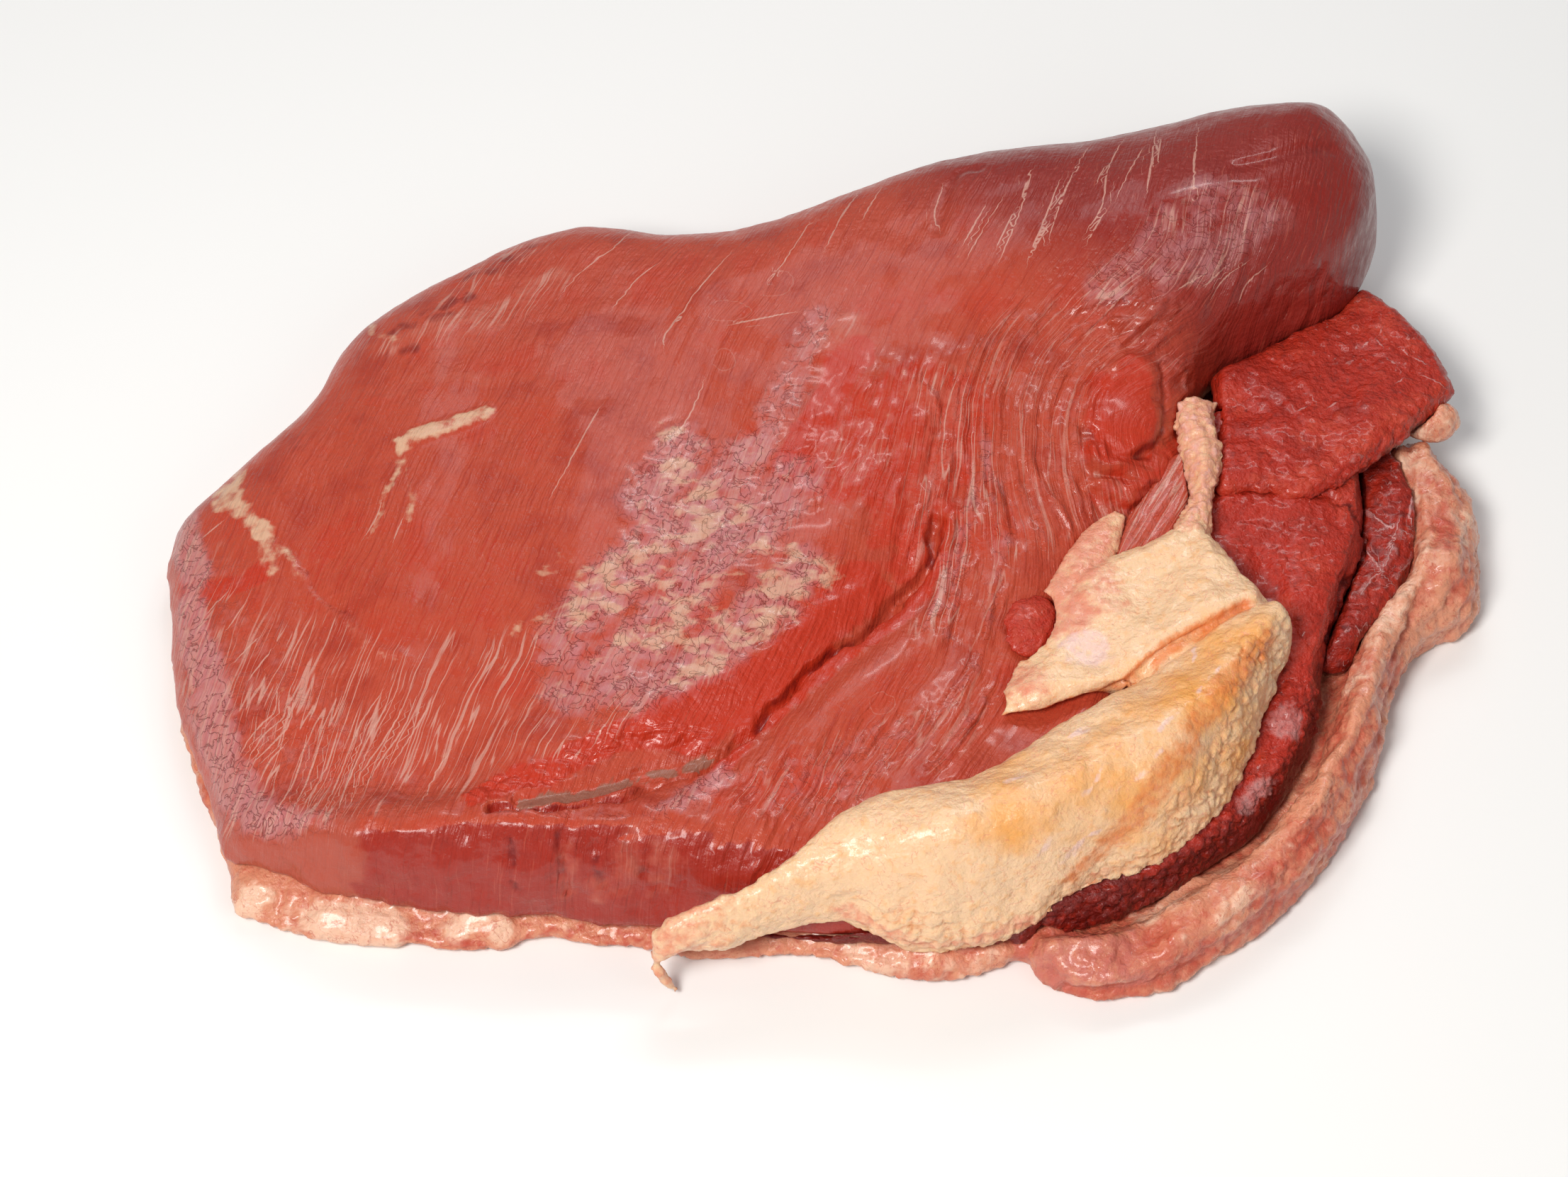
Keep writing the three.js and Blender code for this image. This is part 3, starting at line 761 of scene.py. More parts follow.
class CapSettings(bpy.types.PropertyGroup):
    tan: colour_setting("Rim fat", "Fat of the folded rim", "#dd9474")
    cream: colour_setting("Cap fat", "Clean fat along the front", "#f2c8ac")
    # Also laid into the grooves between lobules as painted shade.
    rosy: colour_setting("Rosy fat", "Fat with a film of lean", "#c04a36")
    purple: colour_setting("Membrane", "Glossy membrane on the rim", "#c87468")
    spacing: length_setting("Mesh spacing", "Distance between mesh points where it shows", 1.4)


class StageSettings(bpy.types.PropertyGroup):
    floor: colour_setting("Floor", "Plain pale floor", "#f6f5f3")
    span: length_setting("Floor span", "Side of the floor", 6000)


def noise(points, size, seed=0):
    """Smooth noise from -1 to 1, with bumps about `size` apart."""
    place = points / size + seed * 7.31
    cell = np.floor(place).astype(np.int64)
    t = place - cell
    t = t * t * (3 - 2 * t)
    total = np.zeros(len(points))
    for corner in np.ndindex(2, 2, 2):
        weight = np.prod(np.where(corner, t, 1 - t), axis=1)
        total += weight * LATTICE[tuple(((cell + corner) % LATTICE_SIDE).T)]
    return total


def layered_noise(points, size, seed=0, layers=3):
    """Noise with finer and weaker noise on it."""
    return sum(noise(points, size / 2**k, seed + k) / 2**k for k in range(layers))


def wandered(points, size, reach, seed):
    """The points moved about, so that what is drawn on them has ragged edges."""
    return points + reach * np.stack([layered_noise(points, size, seed + k, 2) for k in (0, 5, 10)], 1)


def lumps(points, size, seed=0):
    """How far each point is from the middle of its lump and of the next one, in lump widths."""
    place = points / size + seed * 3.7
    cell = np.floor(place).astype(np.int64)
    near = np.full(len(points), 9.0)
    second = near.copy()
    for offset in np.ndindex(3, 3, 3):
        home = cell + np.array(offset) - 1
        i, j, k = (home % LATTICE_SIDE).T
        shift = np.stack([LATTICE[i, j, k], LATTICE[j, k, i], LATTICE[k, i, j]], 1)
        distance = np.linalg.norm(place - home - 0.5 - 0.46 * shift, axis=1)
        second = np.minimum(second, np.maximum(near, distance))
        near = np.minimum(near, distance)
    return near, second


def lobules(points, size, seed=0):
    """Uneven rounded lumps with smaller ones on them: 1 on top, 0 in the grooves."""
    bent = wandered(points, size * 1.2, size * 0.28, seed)
    levels = []
    for width, k in ((size, seed), (size * 0.48, seed + 1)):
        near, second = lumps(bent, width, k)
        levels.append(np.clip((second - near) * 2.0, 0, 1) ** 0.7)
    return 0.68 * levels[0] + 0.32 * levels[1]


def ease(value, low, high):
    t = np.clip((value - low) / (high - low), 0, 1)
    return t * t * (3 - 2 * t)


def smooth_line(marks, steps=4):
    """Points close together on a smooth line through the marks."""
    p = np.array([marks[0], *marks, marks[-1]], float)
    p[0] = 2 * p[1] - p[2]
    p[-1] = 2 * p[-2] - p[-3]
    made = []
    for a, b, c, d in zip(p, p[1:], p[2:], p[3:]):
        for t in np.arange(steps) / steps:
            made.append(
                0.5
                * (
                    2 * b
                    + (c - a) * t
                    + (2 * a - 5 * b + 4 * c - d) * t**2
                    + (3 * b - a - 3 * c + d) * t**3
                )
            )
    return np.array([*made, p[-2]])


def distance_to(points, marks, reach):
    """Distance from each point to the line through the marks, up to `reach`; how far along it that is,
    from 0 to 1; and on which side of it the point lies, seen from above."""
    line = smooth_line(marks)
    distance = np.full(len(points), float(reach))
    along = np.zeros(len(points))
    side = np.ones(len(points))
    inside = np.flatnonzero(np.all((points > line.min(0) - reach) & (points < line.max(0) + reach), axis=1))
    near = points[inside]
    for k, (start, end) in enumerate(zip(line, line[1:])):
        step = end - start
        offset = near - start
        t = np.clip(offset @ step / (step @ step), 0, 1)
        d = np.linalg.norm(offset - t[:, None] * step, axis=1)
        closer = d < distance[inside]
        chosen = inside[closer]
        distance[chosen] = d[closer]
        along[chosen] = (k + t[closer]) / (len(line) - 1)
        side[chosen] = np.sign(step[0] * offset[closer, 1] - step[1] * offset[closer, 0])
    return distance, along, side


def stroke(points, lines, half_width, soft, taper=False):
    """1 on marks of that half width, fading to 0 over `soft`."""
    cover = np.zeros(len(points))
    for marks in lines:
        distance, along, _ = distance_to(points, marks, half_width + soft)
        width = half_width * (np.sqrt(np.clip(4 * along * (1 - along), 0, 1)) if taper else 1)
        cover = np.maximum(cover, 1 - ease(distance, width, width + soft))
    return cover


def fine_lines(points, *groups, reach=3.5):
    """How far to the side of the nearest line each point is, wider near the line's ends, and how strong
    that line is. A material draws lines from it that are much finer than the mesh."""
    best = np.full(len(points), float(reach))
    aside = best.copy()
    power = np.zeros(len(points))
    for lines, strength in groups:
        for marks in lines:
            distance, along, side = distance_to(points, marks, reach)
            closer = distance < best
            best[closer] = distance[closer]
            taper = np.clip(4 * along * (1 - along), 0.05, 1) ** 0.5
            aside[closer] = (side * distance / taper)[closer]
            power[closer] = strength
    return aside, power * (1 - ease(best, 0.6 * reach, reach))


def crests(values):
    """Smooth noise folded into sharp crests with wide hollows between them."""
    return np.maximum(1 - 4 * np.abs(values), -0.8)


def potential(flow_x, flow_y, step):
    """The height map whose slopes come closest to the given ones."""
    half_x = np.pad((flow_x[1:] + flow_x[:-1]) / 2, ((1, 1), (0, 0)))
    half_y = np.pad((flow_y[:, 1:] + flow_y[:, :-1]) / 2, ((0, 0), (1, 1)))
    spread = (np.diff(half_x, axis=0) + np.diff(half_y, axis=1)) / step
    mirrored = np.block([[spread, spread[:, ::-1]], [spread[::-1], spread[::-1, ::-1]]])
    count = np.array(mirrored.shape)
    bends = [2 * np.cos(2 * np.pi * np.arange(n) / n) - 2 for n in count]
    bend = (bends[0][:, None] + bends[1][None]) / step**2
    bend[0, 0] = 1
    waves = np.fft.fft2(mirrored) / bend
    waves[0, 0] = 0
    return np.fft.ifft2(waves).real[: spread.shape[0], : spread.shape[1]]


class Grain:
    """The run of the fibres over the plan: how far a point lies along them and across them."""

    STEP = 4.0
    HALF_LENGTH = 290
    HALF_WIDTH = 230
    UPWARD = (0.45, 0.9)

    def __init__(self, lines, reach=16.0):
        xs = np.arange(-self.HALF_LENGTH, self.HALF_LENGTH + 1, self.STEP)
        ys = np.arange(-self.HALF_WIDTH, self.HALF_WIDTH + 1, self.STEP)
        x, y = np.meshgrid(xs, ys, indexing="ij")
        run_x = np.zeros_like(x)
        run_y = np.full_like(x, 1e-6)
        for marks in lines:
            line = smooth_line(marks)[:, :2]
            if (line[-1] - line[0]) @ self.UPWARD < 0:
                line = line[::-1]
            for start, end in zip(line, line[1:]):
                step = end - start
                length = np.linalg.norm(step)
                middle = (start + end) / 2
                pull = length / (1 + ((x - middle[0]) ** 2 + (y - middle[1]) ** 2) / reach**2) ** 2.5
                run_x += pull * step[0] / max(length, 1e-6)
                run_y += pull * step[1] / max(length, 1e-6)
        size = np.hypot(run_x, run_y)
        run_x, run_y = run_x / size, run_y / size
        self.start = np.array([xs[0], ys[0]])
        self.across_map = potential(-run_y, run_x, self.STEP)
        self.along_map = potential(run_x, run_y, self.STEP)

    def read(self, chart, points):
        """The chart's value at each point, between its grid places."""
        place = (points[:, :2] - self.start) / self.STEP
        cell = np.clip(place.astype(int), 0, np.array(chart.shape) - 2)
        t = np.clip(place - cell, 0, 1)
        i, j = cell.T
        left = chart[i, j] * (1 - t[:, 1]) + chart[i, j + 1] * t[:, 1]
        right = chart[i + 1, j] * (1 - t[:, 1]) + chart[i + 1, j + 1] * t[:, 1]
        return left * (1 - t[:, 0]) + right * t[:, 0]

    def at(self, points):
        """Millimetres across and along the fibres at each point."""
        waver = 1.0 * noise(points, 13, 4) + 0.4 * noise(points, 5, 5)
        return self.read(self.across_map, points) + waver, self.read(self.along_map, points)


class Surface:
    """A piece's mesh with its points and normals as arrays, in millimetres."""

    def __init__(self, piece):
        self.mesh = piece.data
        self.count = len(self.mesh.vertices)
        self.read()

    def read(self):
        points = np.empty(self.count * 3, np.float32)
        normals = np.empty(self.count * 3, np.float32)
        self.mesh.vertices.foreach_get("co", points)
        self.mesh.vertices.foreach_get("normal", normals)
        self.points = points.reshape(-1, 3).astype(float) / MM
        self.normals = normals.reshape(-1, 3).astype(float)

    def write(self):
        self.points[:, 2] = np.maximum(self.points[:, 2], 0.0)
        self.mesh.vertices.foreach_set("co", (self.points * MM).astype(np.float32).ravel())
        self.mesh.update()
        self.read()

    def raise_by(self, height):
        """Moves each point out along its normal."""
        self.points = self.points + self.normals * np.asarray(height)[:, None]
        self.write()

    def paint(self, **layers):
        """Keeps each layer as a number at every point, for the material to read."""
        for name, values in layers.items():
            values = np.asarray(values, np.float32)
            kind = "FLOAT" if values.ndim == 1 else "FLOAT_VECTOR"
            layer = self.mesh.attributes.new(name, kind, "POINT")
            layer.data.foreach_set("value" if values.ndim == 1 else "vector", values.ravel())


def smooth_points(shape, points, factor, passes):
    for _ in range(passes):
        bmesh.ops.smooth_vert(
            shape, verts=points, factor=factor, use_axis_x=True, use_axis_y=True, use_axis_z=True
        )


def dressed_copy(name, node, voxel, passes, finer=(), softer=None, soft_passes=0):
    """A closed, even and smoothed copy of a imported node. Each test in `finer` picks the faces to split
    once more, and `softer` picks the points that are smoothed longer."""
    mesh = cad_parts[node].data.copy()
    mesh.name = name
    mesh.materials.clear()
    welded = bmesh.new()
    welded.from_mesh(mesh)
    bmesh.ops.remove_doubles(welded, verts=welded.verts, dist=1e-6)
    welded.to_mesh(mesh)
    welded.free()
    piece = bpy.data.objects.new(name, mesh)
    bpy.context.scene.collection.objects.link(piece)
    remesh = piece.modifiers.new("Even mesh", "REMESH")
    remesh.mode = "VOXEL"
    remesh.voxel_size = voxel * MM
    even = bpy.data.meshes.new_from_object(piece.evaluated_get(bpy.context.evaluated_depsgraph_get()))
    piece.modifiers.clear()
    piece.data = even
    bpy.data.meshes.remove(mesh)
    even.name = name
    shape = bmesh.new()
    shape.from_mesh(even)
    smooth_points(shape, shape.verts, 0.5, passes)
    if softer is not None:
        shape.verts.ensure_lookup_table()
        places = np.array([v.co for v in shape.verts]) / MM
        smooth_points(shape, [shape.verts[k] for k in np.flatnonzero(softer(places))], 0.5, soft_passes)
    for is_fine in finer:
        shape.faces.ensure_lookup_table()
        shape.normal_update()
        middles = np.array([f.calc_center_median() for f in shape.faces]) / MM
        facing = np.array([f.normal for f in shape.faces])
        edges = list({e for k in np.flatnonzero(is_fine(middles, facing)) for e in shape.faces[k].edges})
        bmesh.ops.subdivide_edges(shape, edges=edges, cuts=1, use_grid_fill=True, smooth=0.6)
        bmesh.ops.triangulate(shape, faces=[f for f in shape.faces if len(f.verts) > 4])
        smooth_points(shape, shape.verts, 0.4, 1)
    shape.to_mesh(even)
    shape.free()
    even.polygons.foreach_set("use_smooth", [True] * len(even.polygons))
    even.update()
    return piece


def finish_piece(piece, material, slot, *nodes):
    """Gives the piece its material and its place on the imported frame."""
    piece.data.materials.append(material)
    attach(piece, "root")
    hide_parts(*nodes)


def add(tree, kind, sockets=None, **settings):
    """Adds a node with its settings, its socket values and its links."""
    made = tree.nodes.new(kind)
    for key, value in settings.items():
        setattr(made, key, value)
    for key, value in (sockets or {}).items():
        if isinstance(value, bpy.types.NodeSocket):
            tree.links.new(value, made.inputs[key])
        else:
            made.inputs[key].default_value = value
    return made


def new_material(name):
    """An empty material, and its tree."""
    material = bpy.data.materials.new(name)
    material.use_nodes = True
    material.node_tree.nodes.clear()
    return material, material.node_tree


def rgba(colour):
    return (*colour, 1.0)


def eased(tree, value, low, high, out_low=0.0, out_high=1.0):
    """A value carried softly from one range to another."""
    return add(
        tree,
        "ShaderNodeMapRange",
        {"Value": value, "From Min": low, "From Max": high, "To Min": out_low, "To Max": out_high},
        interpolation_type="SMOOTHSTEP",
    ).outputs[0]


def combined(tree, operation, *values):
    return add(tree, "ShaderNodeMath", dict(enumerate(values)), operation=operation).outputs[0]


def painted(tree, base, layers):
    """Lays colours over a base. Each layer: how much it covers, where from, where to, its colour and
    how much of it at most."""
    for cover, low, high, colour, most in layers:
        factor = eased(tree, cover, low, high, 0.0, most)
        base = add(tree, "ShaderNodeMix", {0: factor, 6: base, 7: rgba(colour)}, data_type="RGBA").outputs[2]
    return base


def attribute(tree, layer):
    return add(tree, "ShaderNodeAttribute", attribute_name=layer).outputs["Fac"]


def broken(tree, layer, texture, amount):
    """A painted layer with its edge broken up by a texture."""
    swing = combined(tree, "SUBTRACT", texture, 0.5)
    return combined(tree, "MULTIPLY_ADD", swing, amount, attribute(tree, layer))


def thin_net(tree, texture, width):
    """1 on the lines where a texture passes its middle value."""
    away = combined(tree, "ABSOLUTE", combined(tree, "SUBTRACT", texture, 0.5))
    return eased(tree, away, 0.0, width, 1.0, 0.0)


def relief_of(tree, *parts):
    """A height in millimetres: the sum of textures, each with its height."""
    total = 0.0
    for texture, height in parts:
        total = combined(tree, "MULTIPLY_ADD", texture, height, total)
    return total


def close_material(tree, colour, roughness, height, weight, radius, coat=0.0):
    """Ends a wet, slightly translucent material."""
    relief = add(tree, "ShaderNodeBump", {"Height": height, "Distance": MM, "Strength": 1.0})
    skin = add(
        tree,
        "ShaderNodeBsdfPrincipled",
        {
            "Base Color": colour,
            "Roughness": roughness,
            "Normal": relief.outputs[0],
            "IOR": MEAT_IOR,
            "Subsurface Weight": weight,
            "Subsurface Radius": radius,
            "Subsurface Scale": SCATTER_DEPTH,
            "Coat Weight": coat,
            "Coat Roughness": COAT_ROUGHNESS,
        },
    )
    add(tree, "ShaderNodeOutputMaterial", {"Surface": skin.outputs[0]})


def object_noise(tree, size, detail=3.0, stretch=(1, 1, 1), distortion=0.0):
    """Noise on the piece's own coordinates, with bumps `size` millimetres apart."""
    place = add(tree, "ShaderNodeTexCoord").outputs["Object"]
    spread = add(tree, "ShaderNodeMapping", {"Vector": place, "Scale": stretch}).outputs[0]
    return add(
        tree,
        "ShaderNodeTexNoise",
        {"Vector": spread, "Scale": 1 / (size * MM), "Detail": detail, "Distortion": distortion},
    ).outputs["Fac"]


def fibre_noise(tree, across, along, detail=3.0, shift=0.0, layer="fibre"):
    """Noise that follows the fibres: `across` and `along` are its sizes in millimetres."""
    run = add(tree, "ShaderNodeAttribute", attribute_name=layer).outputs["Vector"]
    place = add(
        tree,
        "ShaderNodeMapping",
        {"Vector": run, "Scale": (1 / across, 1 / along, 0.0), "Location": (shift, 0, shift)},
    ).outputs[0]
    return add(tree, "ShaderNodeTexNoise", {"Vector": place, "Scale": 1.0, "Detail": detail}).outputs["Fac"]


def lean_material(settings):
    """Raw beef under silverskin: moist satin with small glints, streaked along the fibres."""
    material, tree = new_material("Lean beef, moist silverskin")
    broad = object_noise(tree, 22, 4)
    fine = object_noise(tree, 4.5, 4)
    grit = object_noise(tree, 1.7, 3)
    fleck = object_noise(tree, 4.6, 5, (0.6, 1, 1), 0.4)
    cracks = thin_net(tree, object_noise(tree, 5.5, 4, distortion=0.8), 0.02)
    thin_streak = fibre_noise(tree, 1.2, 24)
    dashes = eased(tree, fibre_noise(tree, 0.9, 9, 2, 5.0), 0.6, 0.72)
    hair_streak = fibre_noise(tree, 0.7, 16, 2, 9.0)
    long_lines = thin_net(tree, fibre_noise(tree, 4.6, 70, 1, 3.0), 0.03)
    aside = combined(tree, "ABSOLUTE", attribute(tree, "aside"))
    wavered = combined(tree, "MULTIPLY_ADD", hair_streak, 0.9, aside)
    drawn = combined(tree, "MULTIPLY", eased(tree, wavered, 0.45, 1.05, 1.0, 0.0), attribute(tree, "line"))
    pale_hair = eased(tree, hair_streak, 0.56, 0.74)
    hazy_hair = combined(tree, "MULTIPLY", pale_hair, attribute(tree, "haze"))
    hazy_lines = combined(tree, "MULTIPLY", long_lines, attribute(tree, "haze"))
    skin_cracks = combined(tree, "MULTIPLY", cracks, attribute(tree, "skin"))
    colour = painted(
        tree,
        rgba(settings.red),
        [
            (broad, 0.5, 0.3, settings.orange, 0.45),
            (broad, 0.5, 0.72, settings.deep, 0.5),
            # At the far right end of the roll this colour is painted shade.
            (attribute(tree, "roll"), 0.0, 1.0, settings.roll, 0.85),
            (thin_streak, 0.5, 0.78, settings.deep, 0.5),
            (broken(tree, "orange", thin_streak, 1.4), 0.3, 0.95, settings.orange, 0.9),
            (broken(tree, "bare", fine, 1.0), 0.3, 0.8, settings.orange, 0.9),
            (broken(tree, "cut", fine, 0.5), 0.3, 0.7, settings.cut, 1.0),
            (broken(tree, "skirt", fine, 0.8), 0.3, 0.8, settings.skirt, 0.9),
            (dashes, 0.0, 1.0, settings.pale, 0.3),
            # Painted shade: blood colour in the creases and on the roll's right end, with the real blotches.
            (broken(tree, "blood", fine, 1.2), 0.3, 1.1, settings.blood, 0.85),
            (broken(tree, "pale", fine, 1.3), 0.2, 1.2, settings.pale, 0.8),
            (broken(tree, "pale", thin_streak, 2.4), 0.7, 1.5, settings.haze, 0.4),
            (broken(tree, "skin", fine, 1.2), 0.2, 1.2, settings.skin, 0.72),
            (broken(tree, "skin", thin_streak, 2.6), 0.6, 1.3, settings.haze, 0.4),
            (skin_cracks, 0.15, 0.8, settings.deep, 0.6),
            (hazy_hair, 0.0, 0.8, settings.haze, 0.6),
            (hazy_lines, 0.1, 0.7, settings.haze, 0.65),
            (broken(tree, "sheath", hair_streak, 0.9), 0.3, 0.8, settings.sheath, 0.9),
            (drawn, 0.05, 0.7, settings.haze, 0.75),
            (broken(tree, "cream", fleck, 2.6), 0.66, 1.2, settings.cream, 0.55),
            (broken(tree, "solid_cream", fine, 1.8), 0.35, 1.1, settings.cream, 0.85),
        ],
    )
    roughness = eased(tree, fine, 0.3, 0.7, 0.28, 0.48)
    height = relief_of(
        tree, (thin_streak, 0.7), (hair_streak, 0.25), (grit, 0.4), (fine, 0.6), (skin_cracks, -0.4)
    )
    close_material(tree, colour, roughness, height, 0.08, (1.0, 0.3, 0.2), 0.28)
    return material


def cut_material(name, settings):
    """Coarse cut beef: moist bundles of fibres with small pale specks and torn white membrane."""
    material, tree = new_material(name)
    broad = object_noise(tree, 16, 4)
    fine = object_noise(tree, 3.2, 5)
    grit = object_noise(tree, 1.3, 3)
    hair = object_noise(tree, 2.2, 3)
    specks = eased(tree, object_noise(tree, 1.1, 1), 0.7, 0.8)
    branches = thin_net(tree, object_noise(tree, 12, 3, distortion=0.6), 0.012)
    torn = combined(tree, "MULTIPLY", branches, eased(tree, fine, 0.42, 0.6))
    web = combined(tree, "MULTIPLY", torn, attribute(tree, "web"))
    aside = combined(tree, "ABSOLUTE", attribute(tree, "aside"))
    wavered = combined(tree, "MULTIPLY_ADD", hair, 1.1, aside)
    drawn = combined(tree, "MULTIPLY", eased(tree, wavered, 0.7, 1.4, 1.0, 0.0), attribute(tree, "line"))
    colour = painted(
        tree,
        rgba(settings.red),
        [
            (broad, 0.48, 0.75, settings.dark, 0.4),
            (broad, 0.48, 0.28, settings.edge, 0.45),
            (fine, 0.52, 0.76, settings.dark, 0.45),
            # Painted shade: the grooves between bundles of fibres are painted dark.
            (broken(tree, "groove", grit, 0.8), 0.5, 1.2, settings.dark, 0.5),
            (broken(tree, "edge", fine, 1.2), 0.3, 1.0, settings.edge, 0.85),
            # Painted shade: the meat marked as shaded is painted deep red.
            (broken(tree, "dark", fine, 1.0), 0.25, 1.05, settings.dark, 0.88),
            (specks, 0.0, 1.0, settings.web, 0.35),
            (broken(tree, "membrane", fine, 1.4), 0.4, 1.1, settings.web, 0.5),
            (web, 0.1, 0.8, settings.web, 0.55),
            (drawn, 0.1, 0.8, settings.web, 0.65),
        ],
    )
    roughness = eased(tree, fine, 0.3, 0.7, 0.3, 0.52)
    height = relief_of(tree, (fine, 1.5), (grit, 0.7), (web, 0.15), (drawn, 0.2))
    close_material(tree, colour, roughness, height, 0.08, (1.0, 0.25, 0.18), 0.2)
    return material


def fat_material(name, settings):
    """Raw beef fat: waxy, slightly translucent, in lobules with finer granules, and grooves tinted orange as
    painted shade.
    """
    material, tree = new_material(name)
    broad = object_noise(tree, 18, 4)
    fine = object_noise(tree, 3.4, 4)
    grit = object_noise(tree, 1.5, 3)
    veins = thin_net(tree, object_noise(tree, 9.0, 4, distortion=1.0), 0.012)
    colour = painted(
        tree,
        rgba(settings.pale),
        [
            (broken(tree, "yellow", broad, 1.6), 0.2, 1.1, settings.yellow, 0.95),
            (fine, 0.5, 0.72, settings.yellow, 0.35),
            # The orange layer also carries painted shade on the underside and in the hollows.
            (broken(tree, "orange", fine, 1.3), 0.25, 1.1, settings.orange, 0.85),
            # Painted shade: the grooves between lobules are tinted orange.
            (broken(tree, "groove", grit, 0.7), 0.35, 1.15, settings.orange, 0.6),
            (broken(tree, "pink", fine, 1.6), 0.25, 1.2, settings.pink, 0.85),
            (veins, 0.2, 0.9, settings.pink, 0.45),
            # Painted sheen on the fat.
            (broken(tree, "sheen", fine, 1.5), 0.35, 1.0, settings.sheen, 0.75),
        ],
    )
    roughness = eased(tree, fine, 0.3, 0.7, 0.26, 0.44)
    height = relief_of(tree, (fine, 1.0), (grit, 0.45))
    close_material(tree, colour, roughness, height, 0.22, (1.0, 0.5, 0.25), 0.25)
    return material


def cap_material(name, settings):
    """Fat of the cap and its folded rim: tan and rosy, with membrane and pale lumps, and grooves tinted rosy
    as painted shade.
    """
    material, tree = new_material(name)
    fine = object_noise(tree, 3.6, 4)
    grit = object_noise(tree, 1.6, 3)
    veins = thin_net(tree, object_noise(tree, 8.0, 5, distortion=1.2), 0.018)
    colour = painted(
        tree,
        rgba(settings.tan),
        [
            (broken(tree, "rosy", fine, 2.0), 0.2, 1.4, settings.rosy, 0.8),
            # Painted shade: the grooves between lobules are tinted rosy.
            (broken(tree, "groove", grit, 0.8), 0.4, 1.2, settings.rosy, 0.6),
            (broken(tree, "cream", fine, 1.5), 0.35, 1.0, settings.cream, 0.85),
            (veins, 0.2, 0.9, settings.rosy, 0.5),
            (broken(tree, "red", fine, 1.8), 0.4, 1.2, settings.rosy, 0.85),
            (broken(tree, "purple", fine, 1.4), 0.3, 1.2, settings.purple, 0.7),
        ],
    )
    roughness = eased(tree, fine, 0.3, 0.7, 0.26, 0.46)
    height = relief_of(tree, (fine, 1.2), (grit, 0.5))
    close_material(tree, colour, roughness, height, 0.18, (1.0, 0.5, 0.3), 0.3)
    return material


def organic_points(points):
    """The points moved a little, for the soft bends of creases and lips."""
    return wandered(points, 8, 2, 62)


def knife_face(points, normals):
    """Where the knife cut the lean along the front."""
    front = ease(-normals[:, 1], 0.25, 0.6) * ease(-points[:, 1], 116, 130)
    return front * ease(points[:, 0], -174, -160) * (1 - ease(points[:, 0], -52, -30))


